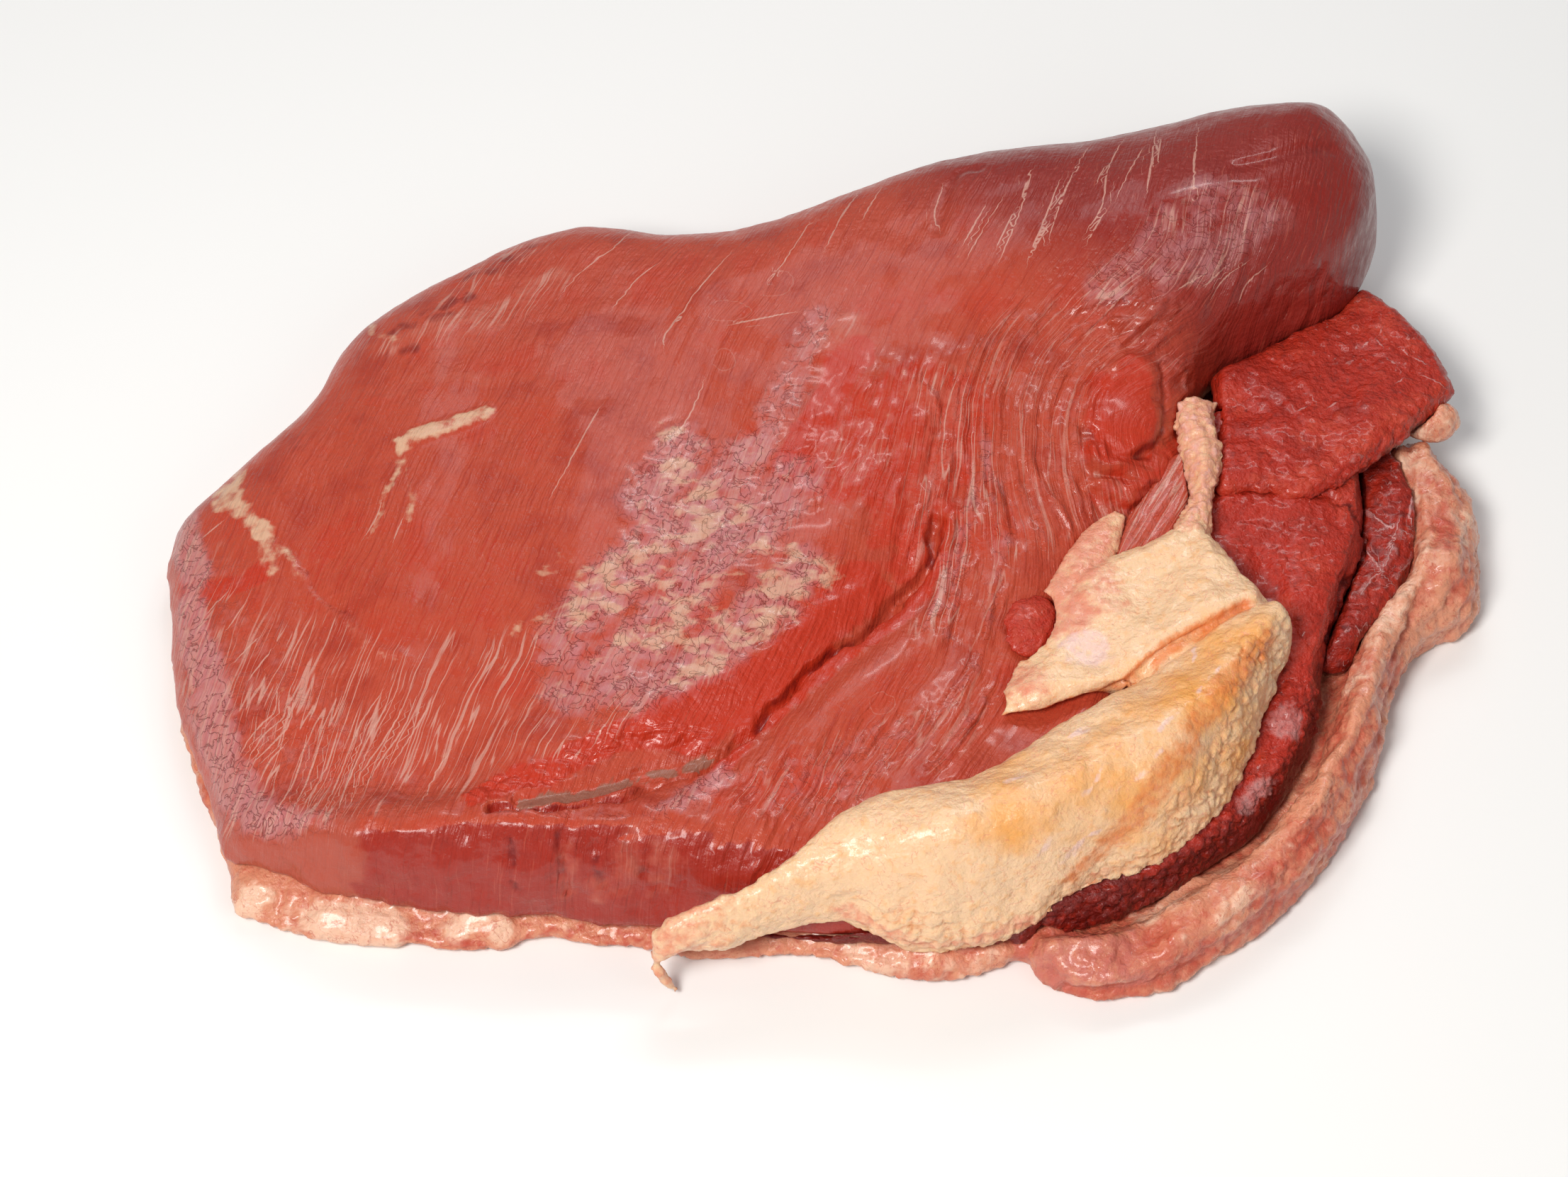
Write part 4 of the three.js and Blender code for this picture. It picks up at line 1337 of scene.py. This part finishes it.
def lean_relief(surface, grain, fibre):
    """Fibres, pleats, creases, the furrow with its torn banks and the knife's marks."""
    p = surface.points
    across, along = grain.at(p)
    flat = np.zeros(len(p))
    spread = np.stack([across, along / 12, flat], 1)
    twice = np.stack([across, along / 5, flat], 1)
    organic = organic_points(p)
    bare = stroke(p, WRINKLES, 14, 12)
    pleated = np.max(
        [
            stroke(p, ROSETTE_ARCS, 4, 8),
            0.8 * stroke(p, STRAND_RIDGES, 4, 8),
            0.6 * stroke(p, ROLL_DIAGONALS, 4, 9),
            0.6 * bare,
        ],
        axis=0,
    )
    fibrous = np.clip(0.16 + 0.8 * bare + pleated + stroke(p, BROW_RIDGE, 5, 8), 0, 1.1)
    height = 0.9 * noise(p, 34, 1) + 0.5 * noise(p, 13, 2)
    height += fibrous * (0.5 * noise(spread, fibre, 3) + 0.3 * noise(twice, 1.3, 6) + 0.4 * noise(p, 5, 7))
    height += pleated * (0.7 * crests(noise(spread, 3.6, 8)) + 0.35 * crests(noise(twice, 2.0, 9)))
    height += 0.6 * stroke(p, STRAND_RIDGES, 0.4, 1.8, True) + 0.6 * stroke(p, ROSETTE_ARCS, 0.4, 2.0, True)
    height -= 0.7 * stroke(p, WRINKLES, 0.4, 1.8, True) + 0.5 * stroke(p, ROLL_DIAGONALS, 0.3, 1.4, True)
    height += 3.4 * stroke(organic, KNOB, 5, 8) - 0.9 * stroke(organic, KNOB_EDGE, 0.5, 2.6)
    height += 2.8 * stroke(organic, CURL, 1.8, 3.6) - 2.0 * stroke(organic, CURL_CREASE, 0.6, 2.6)
    height += 1.3 * stroke(p, FOLD_LIP, 0.9, 2.0, True) - 0.9 * stroke(p, ROLL_TEAR, 0.9, 2.5)
    bank = stroke(wandered(p, 6, 2, 60), FURROW_BANK, 3.5, 4.5)
    height += bank * (1.9 * lobules(p * [0.6, 1, 1], 5.0, 9) - 0.5)
    height += 2.6 * stroke(organic, FURROW_BULGE, 4, 7) + 1.7 * stroke(organic, FURROW_LIP, 1.0, 3.6)
    height -= 4.6 * stroke(organic, FURROW_CREASE, 0.7, 2.6)
    window = stroke(p, FURROW_WINDOW, 2.6, 2.0)
    height += window * (0.5 * noise(p * [1, 0.25, 0.25], 1.7, 18) - 2.2)
    height += 0.8 * stroke(p, BROW_RIDGE, 1.5, 3.5)
    silver = np.maximum(stroke(p, SILVER_PATCH, 6, 10), stroke(p, SILVER_BAND, 3, 8))
    height += silver * (0.5 * noise(p, 4, 16) + 0.4 * noise(p, 2.2, 17))
    height += 0.5 * stroke(wandered(p, 4, 1.2, 61), CREAM_BAND, 2.6, 3)
    height += 0.8 * stroke(p, CREAM_STREAK, 2.0, 2.5)
    height += 0.9 * stroke(organic, SEAM_LINE, 0.3, 1.8) - 1.0 * stroke(organic, SEAM_CREASE, 0.3, 2.0, True)
    knife = knife_face(p, surface.normals)
    front = ease(-p[:, 1], 112, 128) * (1 - ease(p[:, 0], -40, -10))
    height += front * (1.8 * noise(p, 17, 10) + 1.0 * noise(p, 7.5, 11))
    upright = p * [1, 0.4, 0.25]
    hacked = 0.7 * noise(upright, 3.2, 12) + 0.6 * layered_noise(p, 9, 13)
    height += knife * (hacked + 0.8 * lobules(p, 3.4, 14) - 0.4)
    height -= 1.8 * stroke(organic, CLEFTS, 0.4, 2.0, True)
    surface.raise_by(height)


class BRISKET_OT_flat_muscle(bpy.types.Operator):
    """Builds the main lean with its silverskin, fibres, furrow and cut face"""

    bl_idname = "brisket.flat_muscle"
    bl_label = "Main lean"

    def execute(self, context):
        settings = context.scene.brisket_lean

        def shows(middles, facing):
            return (middles[:, 2] > 16) & ((facing[:, 2] > 0.1) | (facing[:, 1] < -0.3))

        def is_rich(middles, facing):
            rich = [
                stroke(middles, lines, width, 0.1)
                for lines, width in (
                    (ROSETTE_ARCS, 2.4),
                    (STRAND_RIDGES, 2.2),
                    (FURROW_BANK, 5),
                    (FURROW_CREASE, 4),
                    (CURL, 5),
                    (KNOB_EDGE, 3),
                    (FOLD_LIP, 3),
                )
            ]
            return (np.max(rich, axis=0) > 0.5) & (facing[:, 2] > -0.2)

        piece = dressed_copy("lean", "flat_muscle", settings.spacing / MM, 2, (shows, is_rich))
        surface = Surface(piece)
        grain = Grain([*LILAC_LINES, *STRAND_RIDGES, *ROSETTE_ARCS, *WRINKLES, *GRAIN_EXTRA, *ROLL_LINES])
        lean_relief(surface, grain, settings.fibre / MM)
        p = surface.points
        n = surface.normals
        across, along = grain.at(p)
        warped = wandered(p, 9, 2.6, 20)
        ragged = wandered(p, 3.5, 1.0, 40)
        organic = organic_points(p)
        up = ease(n[:, 2], 0.1, 0.6) * (1 - ease(-p[:, 1], 128, 140))
        knife = knife_face(p, n)
        front = ease(-n[:, 1], 0.2, 0.6) * ease(-p[:, 1], 105, 128)
        roll = ease(0.6 * p[:, 0] + 0.9 * p[:, 1], 95, 175) * ease(p[:, 0], -20, 70)
        left_lobe = (1 - ease(p[:, 0] + 0.75 * (p[:, 1] + 60), -195, -165)) * up
        strong = [*LILAC_LINES, *ROLL_LINES]
        aside, line = fine_lines(p, (strong, 1.0), (WHITE_STREAKS, 0.85), (ROLL_DIAGONALS, 0.8), (SCARS, 0.3))
        surface.paint(
            fibre=np.stack([across, along, np.zeros(len(p))], 1),
            # Painted shade: more of the dark roll colour towards the far right end.
            roll=np.clip(roll + 0.5 * ease(p[:, 0], 185, 212), 0, 1),
            orange=np.clip(
                0.4 * stroke(warped, ORANGE_FIBRES, 9, 16) + 0.8 * stroke(warped, WRINKLES, 10, 12), 0, 1
            ),
            bare=np.clip(
                0.8 * stroke(ragged, ORANGE_PATCH, 3, 4)
                + 0.9 * stroke(ragged, FURROW_BANK, 3.5, 4)
                + 0.9 * stroke(warped, FURROW_BULGE, 5, 7)
                + 0.9 * stroke(ragged, FURROW_LIP, 2, 4)
                + 0.8 * stroke(warped, KNOB, 6, 6)
                + 0.6 * stroke(warped, CURL, 4, 4)
                + 0.95 * stroke(warped, DARK_STRIP, 4, 5)
                + 0.7 * stroke(warped, RED_POCKET, 4, 6),
                0, 1,
            ),
            cut=np.maximum(knife, 0.8 * front * ease(p[:, 0], -60, -40)),
            skirt=front * (1 - ease(p[:, 0], -174, -155)) + 0.6 * stroke(warped, FRONT_SKIRT, 4, 8),
            # Blotches and tears are the meat's own; the creases, clefts, the knob's edge and the far right
            # end of the roll with its underside get it as painted shade. The cut face gets a little of it
            # too.
            blood=np.clip(
                0.8 * stroke(warped, BLOTCHES, 1.2, 3.4)
                + 1.0 * stroke(organic, FURROW_CREASE, 0.9, 2.6)
                + 0.6 * stroke(organic, SEAM_CREASE, 0.3, 2.4, True)
                + 0.7 * stroke(organic, CURL_CREASE, 1, 3)
                + 0.4 * stroke(organic, KNOB_EDGE, 0.5, 3)
                + 0.8 * stroke(organic, CLEFTS, 0.3, 2)
                + 0.5 * stroke(ragged, ROLL_TEAR, 1, 3)
                + 1.0 * ease(p[:, 0] - 0.35 * p[:, 2], 160, 185)
                + 0.3 * knife,
                0, 1,
            ),
            # On the rosette arcs this pale is painted highlight.
            pale=np.clip(
                0.5 * stroke(warped, PALE_BAND, 4, 7)
                + 0.3 * stroke(warped, PALE_PLANE, 7, 16)
                + 0.5 * stroke(warped, PALE_STREAKS, 2, 6)
                + 0.3 * stroke(warped, ROSETTE_ARCS, 3, 8)
                + 0.3 * stroke(warped, CORNER_HAZE, 3, 9)
                + 0.5 * stroke(ragged, SEAM_LINE, 0.5, 2)
                + 0.35 * stroke(warped, WRINKLES, 5, 9)
                + 0.35 * left_lobe,
                0, 1,
            ) * up + 0.6 * stroke(warped, FACE_PALE, 3, 6),
            # Silverskin patches and edges are the meat's own; the roll's glare, the strand and rosette ridge
            # lines and the brow ridge are painted highlights.
            skin=np.clip(
                0.8 * stroke(warped, SILVER_PATCH, 5, 12)
                + 0.6 * stroke(warped, SILVER_BAND, 3, 8)
                + 0.6 * stroke(ragged, LILAC_RIM, 2, 8)
                + 0.5 * stroke(ragged, LILAC_EDGE, 3, 6)
                + 0.4 * stroke(ragged, STRAND_RIDGES, 0.8, 4)
                + 0.6 * stroke(warped, ROLL_SHINE, 2, 11)
                + 0.3 * stroke(ragged, ROSETTE_ARCS, 1.0, 4)
                + 0.8 * stroke(ragged, BROW_RIDGE, 2, 6)
                + 0.28 * left_lobe,
                0, 0.95,
            ) * up,
            # Pale fibre streaks, with painted highlights on the roll's top and over the rosette and strand
            # ridges.
            haze=np.clip(
                0.06
                + 0.8 * stroke(warped, WHITE_FAN, 2, 8)
                + 0.55 * stroke(warped, HAZE, 3, 11)
                + 0.5 * left_lobe
                + 0.5 * stroke(warped, CORNER_HAZE, 3, 9)
                + 0.5 * stroke(warped, ROLL_SHINE, 3, 9)
                + 0.4 * stroke(warped, ROSETTE_ARCS, 2, 6)
                + 0.3 * stroke(warped, WRINKLES, 5, 9)
                + 0.4 * stroke(warped, STRAND_RIDGES, 2, 6),
                0, 1,
            ) * up,
            sheath=stroke(ragged, FURROW_WINDOW, 2.6, 1.6),
            aside=aside,
            line=line * up,
            cream=np.clip(
                0.45 * stroke(warped, SILVER_PATCH, 4, 10)
                + 0.55 * stroke(warped, CREAM_FLAKES, 3, 6)
                + 0.6 * stroke(warped, CREAM_BAND, 3, 7)
                + 0.3 * stroke(warped, HAZE, 3, 10)
                + 0.08 * stroke(warped, CORNER_HAZE, 3, 8),
                0, 1,
            ) * up,
            solid_cream=np.clip(
                0.85 * stroke(warped, SEAM_PATCH, 1.6, 5.5)
                + 0.6 * stroke(warped, SEAM_FEATHER, 1.2, 4)
                + 0.5 * stroke(ragged, SEAM_LINE, 0.2, 1.4)
                + 0.95 * stroke(ragged, CREAM_STREAK, 2.4, 2.6)
                + 0.65 * stroke(ragged, CREAM_BRANCHES, 0.6, 2.0)
                + 0.6 * stroke(ragged, CORNER_CREAM, 0.8, 3.0)
                + 0.45 * stroke(warped, CREAM_BAND, 1.6, 4),
                0, 1,
            ),
        )
        finish_piece(piece, lean_material(settings), "lean_meat", "flat_muscle")
        return {"FINISHED"}


def cut_relief(node, points, coarse):
    """Grain, torn layers, crumbs and edges of one of the coarse pieces, and its grain alone."""
    grains = lobules(points, coarse, 42)
    height = 0.5 * grains - 0.25 + 0.9 * noise(points, 14, 41) + 0.5 * noise(points, 5.5, 44)
    height += 0.3 * noise(points, 2.4, 43)
    if node == "small_muscle":
        return 0.4 * height, grains
    ragged = wandered(points, 6, 2, 47)
    if node == "top_flap":
        height += stroke(ragged, FLAP_EDGE, 3, 5) * (1.9 * lobules(points, 7, 46) - 0.8)
    if node == "point_muscle":
        height += stroke(points, DARK_RED_CRUMBS, 5, 7) * (2.4 * lobules(points, 5, 47) - 0.9)
        height += 1.4 * stroke(ragged, SECOND_BRIGHT, 6, 5)
    height -= 2.2 * stroke(ragged, SECOND_EDGE, 0.5, 2.5)
    height += 0.8 * stroke(ragged, INNER_BRIDGES, 0.6, 1.8)
    return height, grains


class BRISKET_OT_cut_meat(bpy.types.Operator):
    """Builds the loose flap, the second muscle, the inner muscle and the small round muscle"""

    bl_idname = "brisket.cut_meat"
    bl_label = "Flaps and small muscles"

    def execute(self, context):
        settings = context.scene.brisket_cut
        coarse = settings.grain / MM
        material = cut_material("Coarse cut beef, moist", settings)
        for name, node in (
            ("second_muscle", "point_muscle"),
            ("inner_lean", "inner_muscle"),
            ("loose_flap", "top_flap"),
            ("round_muscle", "small_muscle"),
        ):
            piece = dressed_copy(name, node, settings.spacing / MM, 3)
            surface = Surface(piece)
            height, grains = cut_relief(node, surface.points, coarse)
            surface.raise_by(height)
            p = surface.points
            warped = wandered(p, 6, 2, 47)
            facing_up = surface.normals[:, 2]
            # Painted shade: the meat is painted darker where it faces down.
            dark = 0.8 * (1 - ease(facing_up, -0.2, 0.4))
            edge = 0.6 * stroke(warped, FLAP_BRIGHT, 3, 7) * (node == "top_flap")
            web = np.zeros(len(p))
            if node == "point_muscle":
                crumbs = stroke(p, DARK_RED_CRUMBS, 5, 7)
                # Painted shade: the second muscle is painted darker towards its bottom, where it lies under
                # the fat wedge.
                below = 1 - ease(p[:, 2] + 3 * noise(p, 9, 48), 25, 37)
                dark = np.maximum(dark * (1 - 0.3 * crumbs), 0.95 * below)
                dark = dark * (1 - 0.4 * crumbs * grains) + 0.15
                edge = 0.3 * stroke(warped, SECOND_BRIGHT, 5, 7) + 0.3 * crumbs * grains
            elif node == "inner_muscle":
                # Painted shade: the inner muscle, lying low between the pieces, is painted dark all over.
                dark = np.maximum(dark, 0.6)
                web = web + 0.8
            elif node == "small_muscle":
                dark = dark * 0.2
                edge = edge + 0.5
            else:
                web = 0.6 * ease(0.8 * p[:, 0] + p[:, 1], 195, 235)
            # Painted shade along the crease under the second muscle's edge.
            dark = np.maximum(dark, 0.9 * stroke(warped, SECOND_EDGE, 0.4, 2.4) * (node != "small_muscle"))
            aside, line = fine_lines(p, (FLAP_STARS, 0.7), (INNER_BRIDGES, 1.0))
            surface.paint(
                dark=dark,
                edge=edge,
                web=web,
                # Painted shade in the grooves between the bundles.
                groove=1 - grains,
                aside=aside,
                line=line,
                membrane=0.9 * stroke(warped, MEMBRANE_GREY, 3, 4)
                + 0.7 * stroke(warped, INNER_BRIDGES, 0.4, 3),
            )
            finish_piece(piece, material, "cut_meat", node)
        return {"FINISHED"}


class BRISKET_OT_tongue(bpy.types.Operator):
    """Builds the thin tongue of sheath between the fat strip and the folded lean"""

    bl_idname = "brisket.tongue"
    bl_label = "Sheath tongue"

    def execute(self, context):
        settings = context.scene.brisket_lean
        piece = dressed_copy("sheath_tongue", "tongue_muscle", 0.8, 3)
        surface = Surface(piece)
        p = surface.points
        run = p @ [0.5, 0.85, 0.1]
        side = p @ [0.85, -0.5, 0.1]
        still = np.zeros(len(p))
        lying = np.stack([side, run / 9, still], 1)
        surface.raise_by(0.6 * noise(lying, 2.4, 50) + 0.3 * noise(lying, 1.1, 51))
        layers = dict.fromkeys(
            ("roll", "orange", "cut", "skirt", "blood", "sheath", "line", "solid_cream", "cream"), still
        )
        surface.paint(
            fibre=np.stack([side, run, still], 1), bare=still + 0.4, pale=still + 0.6, skin=still + 0.3,
            haze=still + 0.7, aside=still + 5, **layers,
        )
        finish_piece(piece, lean_material(settings), "lean_meat", "tongue_muscle")
        return {"FINISHED"}


class BRISKET_OT_seam_fat(bpy.types.Operator):
    """Builds the wedge of seam fat with its lobe, cleft, strip and tail"""

    bl_idname = "brisket.seam_fat"
    bl_label = "Seam fat"

    def execute(self, context):
        settings = context.scene.brisket_fat

        def wedge_body(places):
            x, y, z = places.T
            return (z > WEDGE_ABOVE) & (x > WEDGE_FROM) & (x < WEDGE_TO) & (y < WEDGE_BEFORE)

        piece = dressed_copy(
            "seam_fat_wedge", "seam_fat", settings.spacing / MM, 3, (), wedge_body, WEDGE_PASSES
        )
        surface = Surface(piece)
        p = surface.points
        size = settings.lobule / MM
        strip = ease(p[:, 1], -30, -10) * ease(p[:, 0], 118, 126)
        arm = (1 - ease(p[:, 0] + 0.3 * p[:, 1], 88, 100)) * ease(p[:, 1], -62, -48)
        edge = stroke(wandered(p, 14, 5, 68), WEDGE_COBBLES, 6, 12)
        grains = lobules(p, size, 60)
        small = lobules(p, size * 0.75, 66)
        tail = 1 - ease(p[:, 0], -30, 20)
        cobbled = np.clip(0.22 + 0.8 * edge + 0.25 * tail, 0, 1) * (1 - strip)
        height = cobbled * (2.0 * grains - 1.0) + strip * (2.2 * small - 1.0)
        height += 1.5 * noise(p, 19, 61) + 0.9 * noise(p, 9, 67) + 0.3 * noise(p, 3.6, 62)
        height -= 2.4 * stroke(p, FAT_CLEFT, 0.4, 2.2) * ease(p[:, 0], 50, 75)
        surface.raise_by(height)
        p = surface.points
        n = surface.normals
        warped = wandered(p, 8, 2.6, 63)
        # Painted shade: the fat is tinted orange where it faces down.
        underside_shade = 1 - ease(n[:, 2], -0.6, 0.0)
        surface.paint(
            yellow=np.clip(
                0.5 * stroke(warped, WEDGE_YELLOW, 4, 30)
                + 0.2 * ease(p[:, 0], 0, 60)
                - 0.8 * stroke(warped, LOBE_YELLOW, 5, 12)
                - 0.5 * stroke(warped, WEDGE_WHITE, 6, 12)
                - strip,
                0, 1,
            ),
            # Orange bands are the fat's own; the underside and the grooves of the cobbled edge get it as
            # painted shade.
            orange=np.clip(
                0.8 * stroke(warped, WEDGE_ORANGE, 2, 8)
                + 1.0 * stroke(p, FAT_CLEFT, 1.5, 4)
                + 0.5 * underside_shade
                + 0.25 * edge * (1 - grains),
                0, 1,
            ),
            pink=np.clip(
                0.75 * stroke(warped, LOBE_PINK, 4, 9)
                + 0.75 * stroke(warped, UNDERTINT, 1.5, 5)
                + 0.7 * (1 - ease(p[:, 0], -55, -5))
                + 0.8 * strip
                + 0.75 * arm,
                0, 1,
            ),
            # Painted sheen: highlight streaks on the wedge, the lobe's white mark and a lighter wash over the
            # strip.
            sheen=np.clip(
                0.85 * stroke(warped, WEDGE_SHEEN, 0.4, 2.2)
                + 0.9 * stroke(warped, LOBE_WHITE, 3, 8)
                + 0.45 * strip,
                0, 1,
            ),
            # Painted shade in the grooves between lobules.
            groove=np.clip((1 - grains) * cobbled + (1 - small) * strip, 0, 1),
        )
        finish_piece(piece, fat_material("Beef seam fat, waxy", settings), "seam_fat", "seam_fat")
        return {"FINISHED"}


class BRISKET_OT_fat_cap(bpy.types.Operator):
    """Builds the fat cap with its folded rim, and the knob of fat at the flap's corner"""

    bl_idname = "brisket.fat_cap"
    bl_label = "Fat cap"

    def execute(self, context):
        settings = context.scene.brisket_cap
        spacing = settings.spacing / MM
        material = cap_material("Beef cap fat, moist", settings)

        def shows(middles, facing):
            outer = (middles[:, 0] > 60) & (middles[:, 1] < 90) & (middles[:, 0] - 0.7 * middles[:, 1] > 130)
            rims = (middles[:, 1] < -140) | (middles[:, 0] < -210)
            return (outer | rims) & ((facing[:, 2] > -0.6) | (middles[:, 2] > 4))

        for name, node in (("cap", "fat_cap"), ("fat_knob", "fat_nub")):
            is_cap = node == "fat_cap"
            if is_cap:
                piece = dressed_copy(name, node, 2 * spacing, 2, (shows,))
            else:
                piece = dressed_copy(name, node, 0.9, 3)
            surface = Surface(piece)
            p = surface.points
            distance, along, side = distance_to(p, RIM_LINE, RIM_REACH)
            rim = (1 - ease(distance, 30, 44)) * is_cap
            bent = side * distance + 4 * noise(p, 14, 78)
            run = np.stack([bent, along * 60, p[:, 2] * 0.6], 1)
            folds = layered_noise(run, 6.5, 79, 2)
            grains = lobules(p, 7.5, 71)
            layers = layered_noise(p * [0.25, 0.5, 1], 3.6, 80, 2)
            lying = ease(p[:, 2], 0.5, 4)
            smooth_fat = stroke(wandered(p, 7, 2, 74), CAP_WHITE, 3, 5)
            height = rim * (2.0 * folds + 0.3) + (1 - rim) * 0.9 * layers
            height += (1 - 0.8 * smooth_fat) * (1.5 * grains - 0.9)
            height += 1.4 * noise(p, 17, 70) + 0.4 * noise(p, 3.4, 72)
            height += 1.6 * smooth_fat
            surface.raise_by(lying * height * (1.0 if is_cap else 0.6))
            p = surface.points
            warped = wandered(p, 9, 3, 73)
            surface.paint(
                rosy=np.clip(
                    0.5
                    + 0.35 * ease(-p[:, 1], 95, 140) * ease(p[:, 0], 40, 70)
                    + 0.6 * noise(p, 15, 76)
                    - 0.5 * folds * rim
                    - 0.6 * (not is_cap),
                    0, 1,
                ),
                cream=np.clip(
                    0.9 * stroke(warped, CAP_WHITE, 3, 5)
                    + 0.5 * stroke(warped, CAP_CREAM, 5, 7)
                    + 0.45 * stroke(warped, RIM_WHITE, 3, 9)
                    + 0.3 * ease(noise(p, 8, 77), 0.1, 0.6)
                    + 0.3 * ease(folds, 0.1, 0.6) * rim
                    + 0.55 * (not is_cap),
                    0, 1,
                ),
                red=np.clip(0.8 * stroke(warped, RIM_RED, 2, 6) + 0.8 * stroke(warped, CAP_PINK, 1, 5), 0, 1),
                purple=0.9 * stroke(warped, RIM_PURPLE, 5, 16) * is_cap,
                # Painted shade in the grooves between lobules, less on the crests of the rim's folds.
                groove=np.clip((1 - grains) * (1 - smooth_fat) - 0.6 * folds * rim, 0, 1),
            )
            finish_piece(piece, material, "cap_fat", node)
        return {"FINISHED"}


class BRISKET_OT_stage(bpy.types.Operator):
    """Sets a plain pale floor, soft studio light and the camera"""

    bl_idname = "brisket.stage"
    bl_label = "Stage"

    def execute(self, context):
        scene = context.scene
        settings = scene.brisket_stage
        floor_mesh = bpy.data.meshes.new("floor")
        shape = bmesh.new()
        bmesh.ops.create_grid(shape, x_segments=4, y_segments=4, size=settings.span / 2)
        shape.to_mesh(floor_mesh)
        shape.free()
        floor = bpy.data.objects.new("floor", floor_mesh)
        scene.collection.objects.link(floor)
        material, tree = new_material("Matt pale floor")
        surface = add(
            tree, "ShaderNodeBsdfPrincipled", {"Base Color": rgba(settings.floor), "Roughness": 0.9}
        )
        add(tree, "ShaderNodeOutputMaterial", {"Surface": surface.outputs[0]})
        floor_mesh.materials.append(material)

        for name, place, width, depth, power, tint in LAMPS:
            lamp = bpy.data.lights.new(name, "AREA")
            lamp.shape = "RECTANGLE"
            lamp.size = width
            lamp.size_y = depth
            lamp.energy = power
            lamp.color = tint
            light = bpy.data.objects.new(name, lamp)
            light.location = place
            light.rotation_euler = (-Vector(place)).to_track_quat("-Z", "Y").to_euler()
            scene.collection.objects.link(light)

        world = bpy.data.worlds.new("studio")
        world.use_nodes = True
        world.node_tree.nodes["Background"].inputs["Color"].default_value = SKY_COLOUR
        world.node_tree.nodes["Background"].inputs["Strength"].default_value = SKY_STRENGTH
        scene.world = world

        camera_data = bpy.data.cameras.new("camera")
        camera_data.lens = CAMERA_LENS
        camera_data.sensor_width = SENSOR_WIDTH
        camera = bpy.data.objects.new("camera", camera_data)
        camera.location = CAMERA_PLACE
        camera.rotation_euler = CAMERA_TURN
        scene.collection.objects.link(camera)
        scene.camera = camera
        scene.view_settings.view_transform = "Standard"
        return {"FINISHED"}


class BRISKET_PT_panel(bpy.types.Panel):
    """Lists the steps and settings of the brisket"""

    bl_idname = "BRISKET_PT_panel"
    bl_label = "Raw beef brisket"
    bl_space_type = "VIEW_3D"
    bl_region_type = "UI"
    bl_category = "Brisket"

    def draw(self, context):
        for operator in OPERATORS:
            self.layout.operator(operator.bl_idname)
        for name in SETTINGS:
            group = getattr(context.scene, name)
            box = self.layout.box()
            for key in group.__annotations__:
                box.prop(group, key)


OPERATORS = (
    BRISKET_OT_fat_cap,
    BRISKET_OT_flat_muscle,
    BRISKET_OT_cut_meat,
    BRISKET_OT_tongue,
    BRISKET_OT_seam_fat,
    BRISKET_OT_stage,
)
SETTINGS = {
    "brisket_lean": LeanSettings,
    "brisket_cut": CutSettings,
    "brisket_fat": FatSettings,
    "brisket_cap": CapSettings,
    "brisket_stage": StageSettings,
}


def register():
    for kind in (*SETTINGS.values(), *OPERATORS, BRISKET_PT_panel):
        bpy.utils.register_class(kind)
    for name, kind in SETTINGS.items():
        setattr(bpy.types.Scene, name, bpy.props.PointerProperty(type=kind))


def unregister():
    for name in SETTINGS:
        delattr(bpy.types.Scene, name)
    for kind in reversed((*SETTINGS.values(), *OPERATORS, BRISKET_PT_panel)):
        bpy.utils.unregister_class(kind)


def main():
    register()
    for operator in OPERATORS:
        group, name = operator.bl_idname.split(".")
        getattr(getattr(bpy.ops, group), name)()


if __name__ == "__main__":
    main()
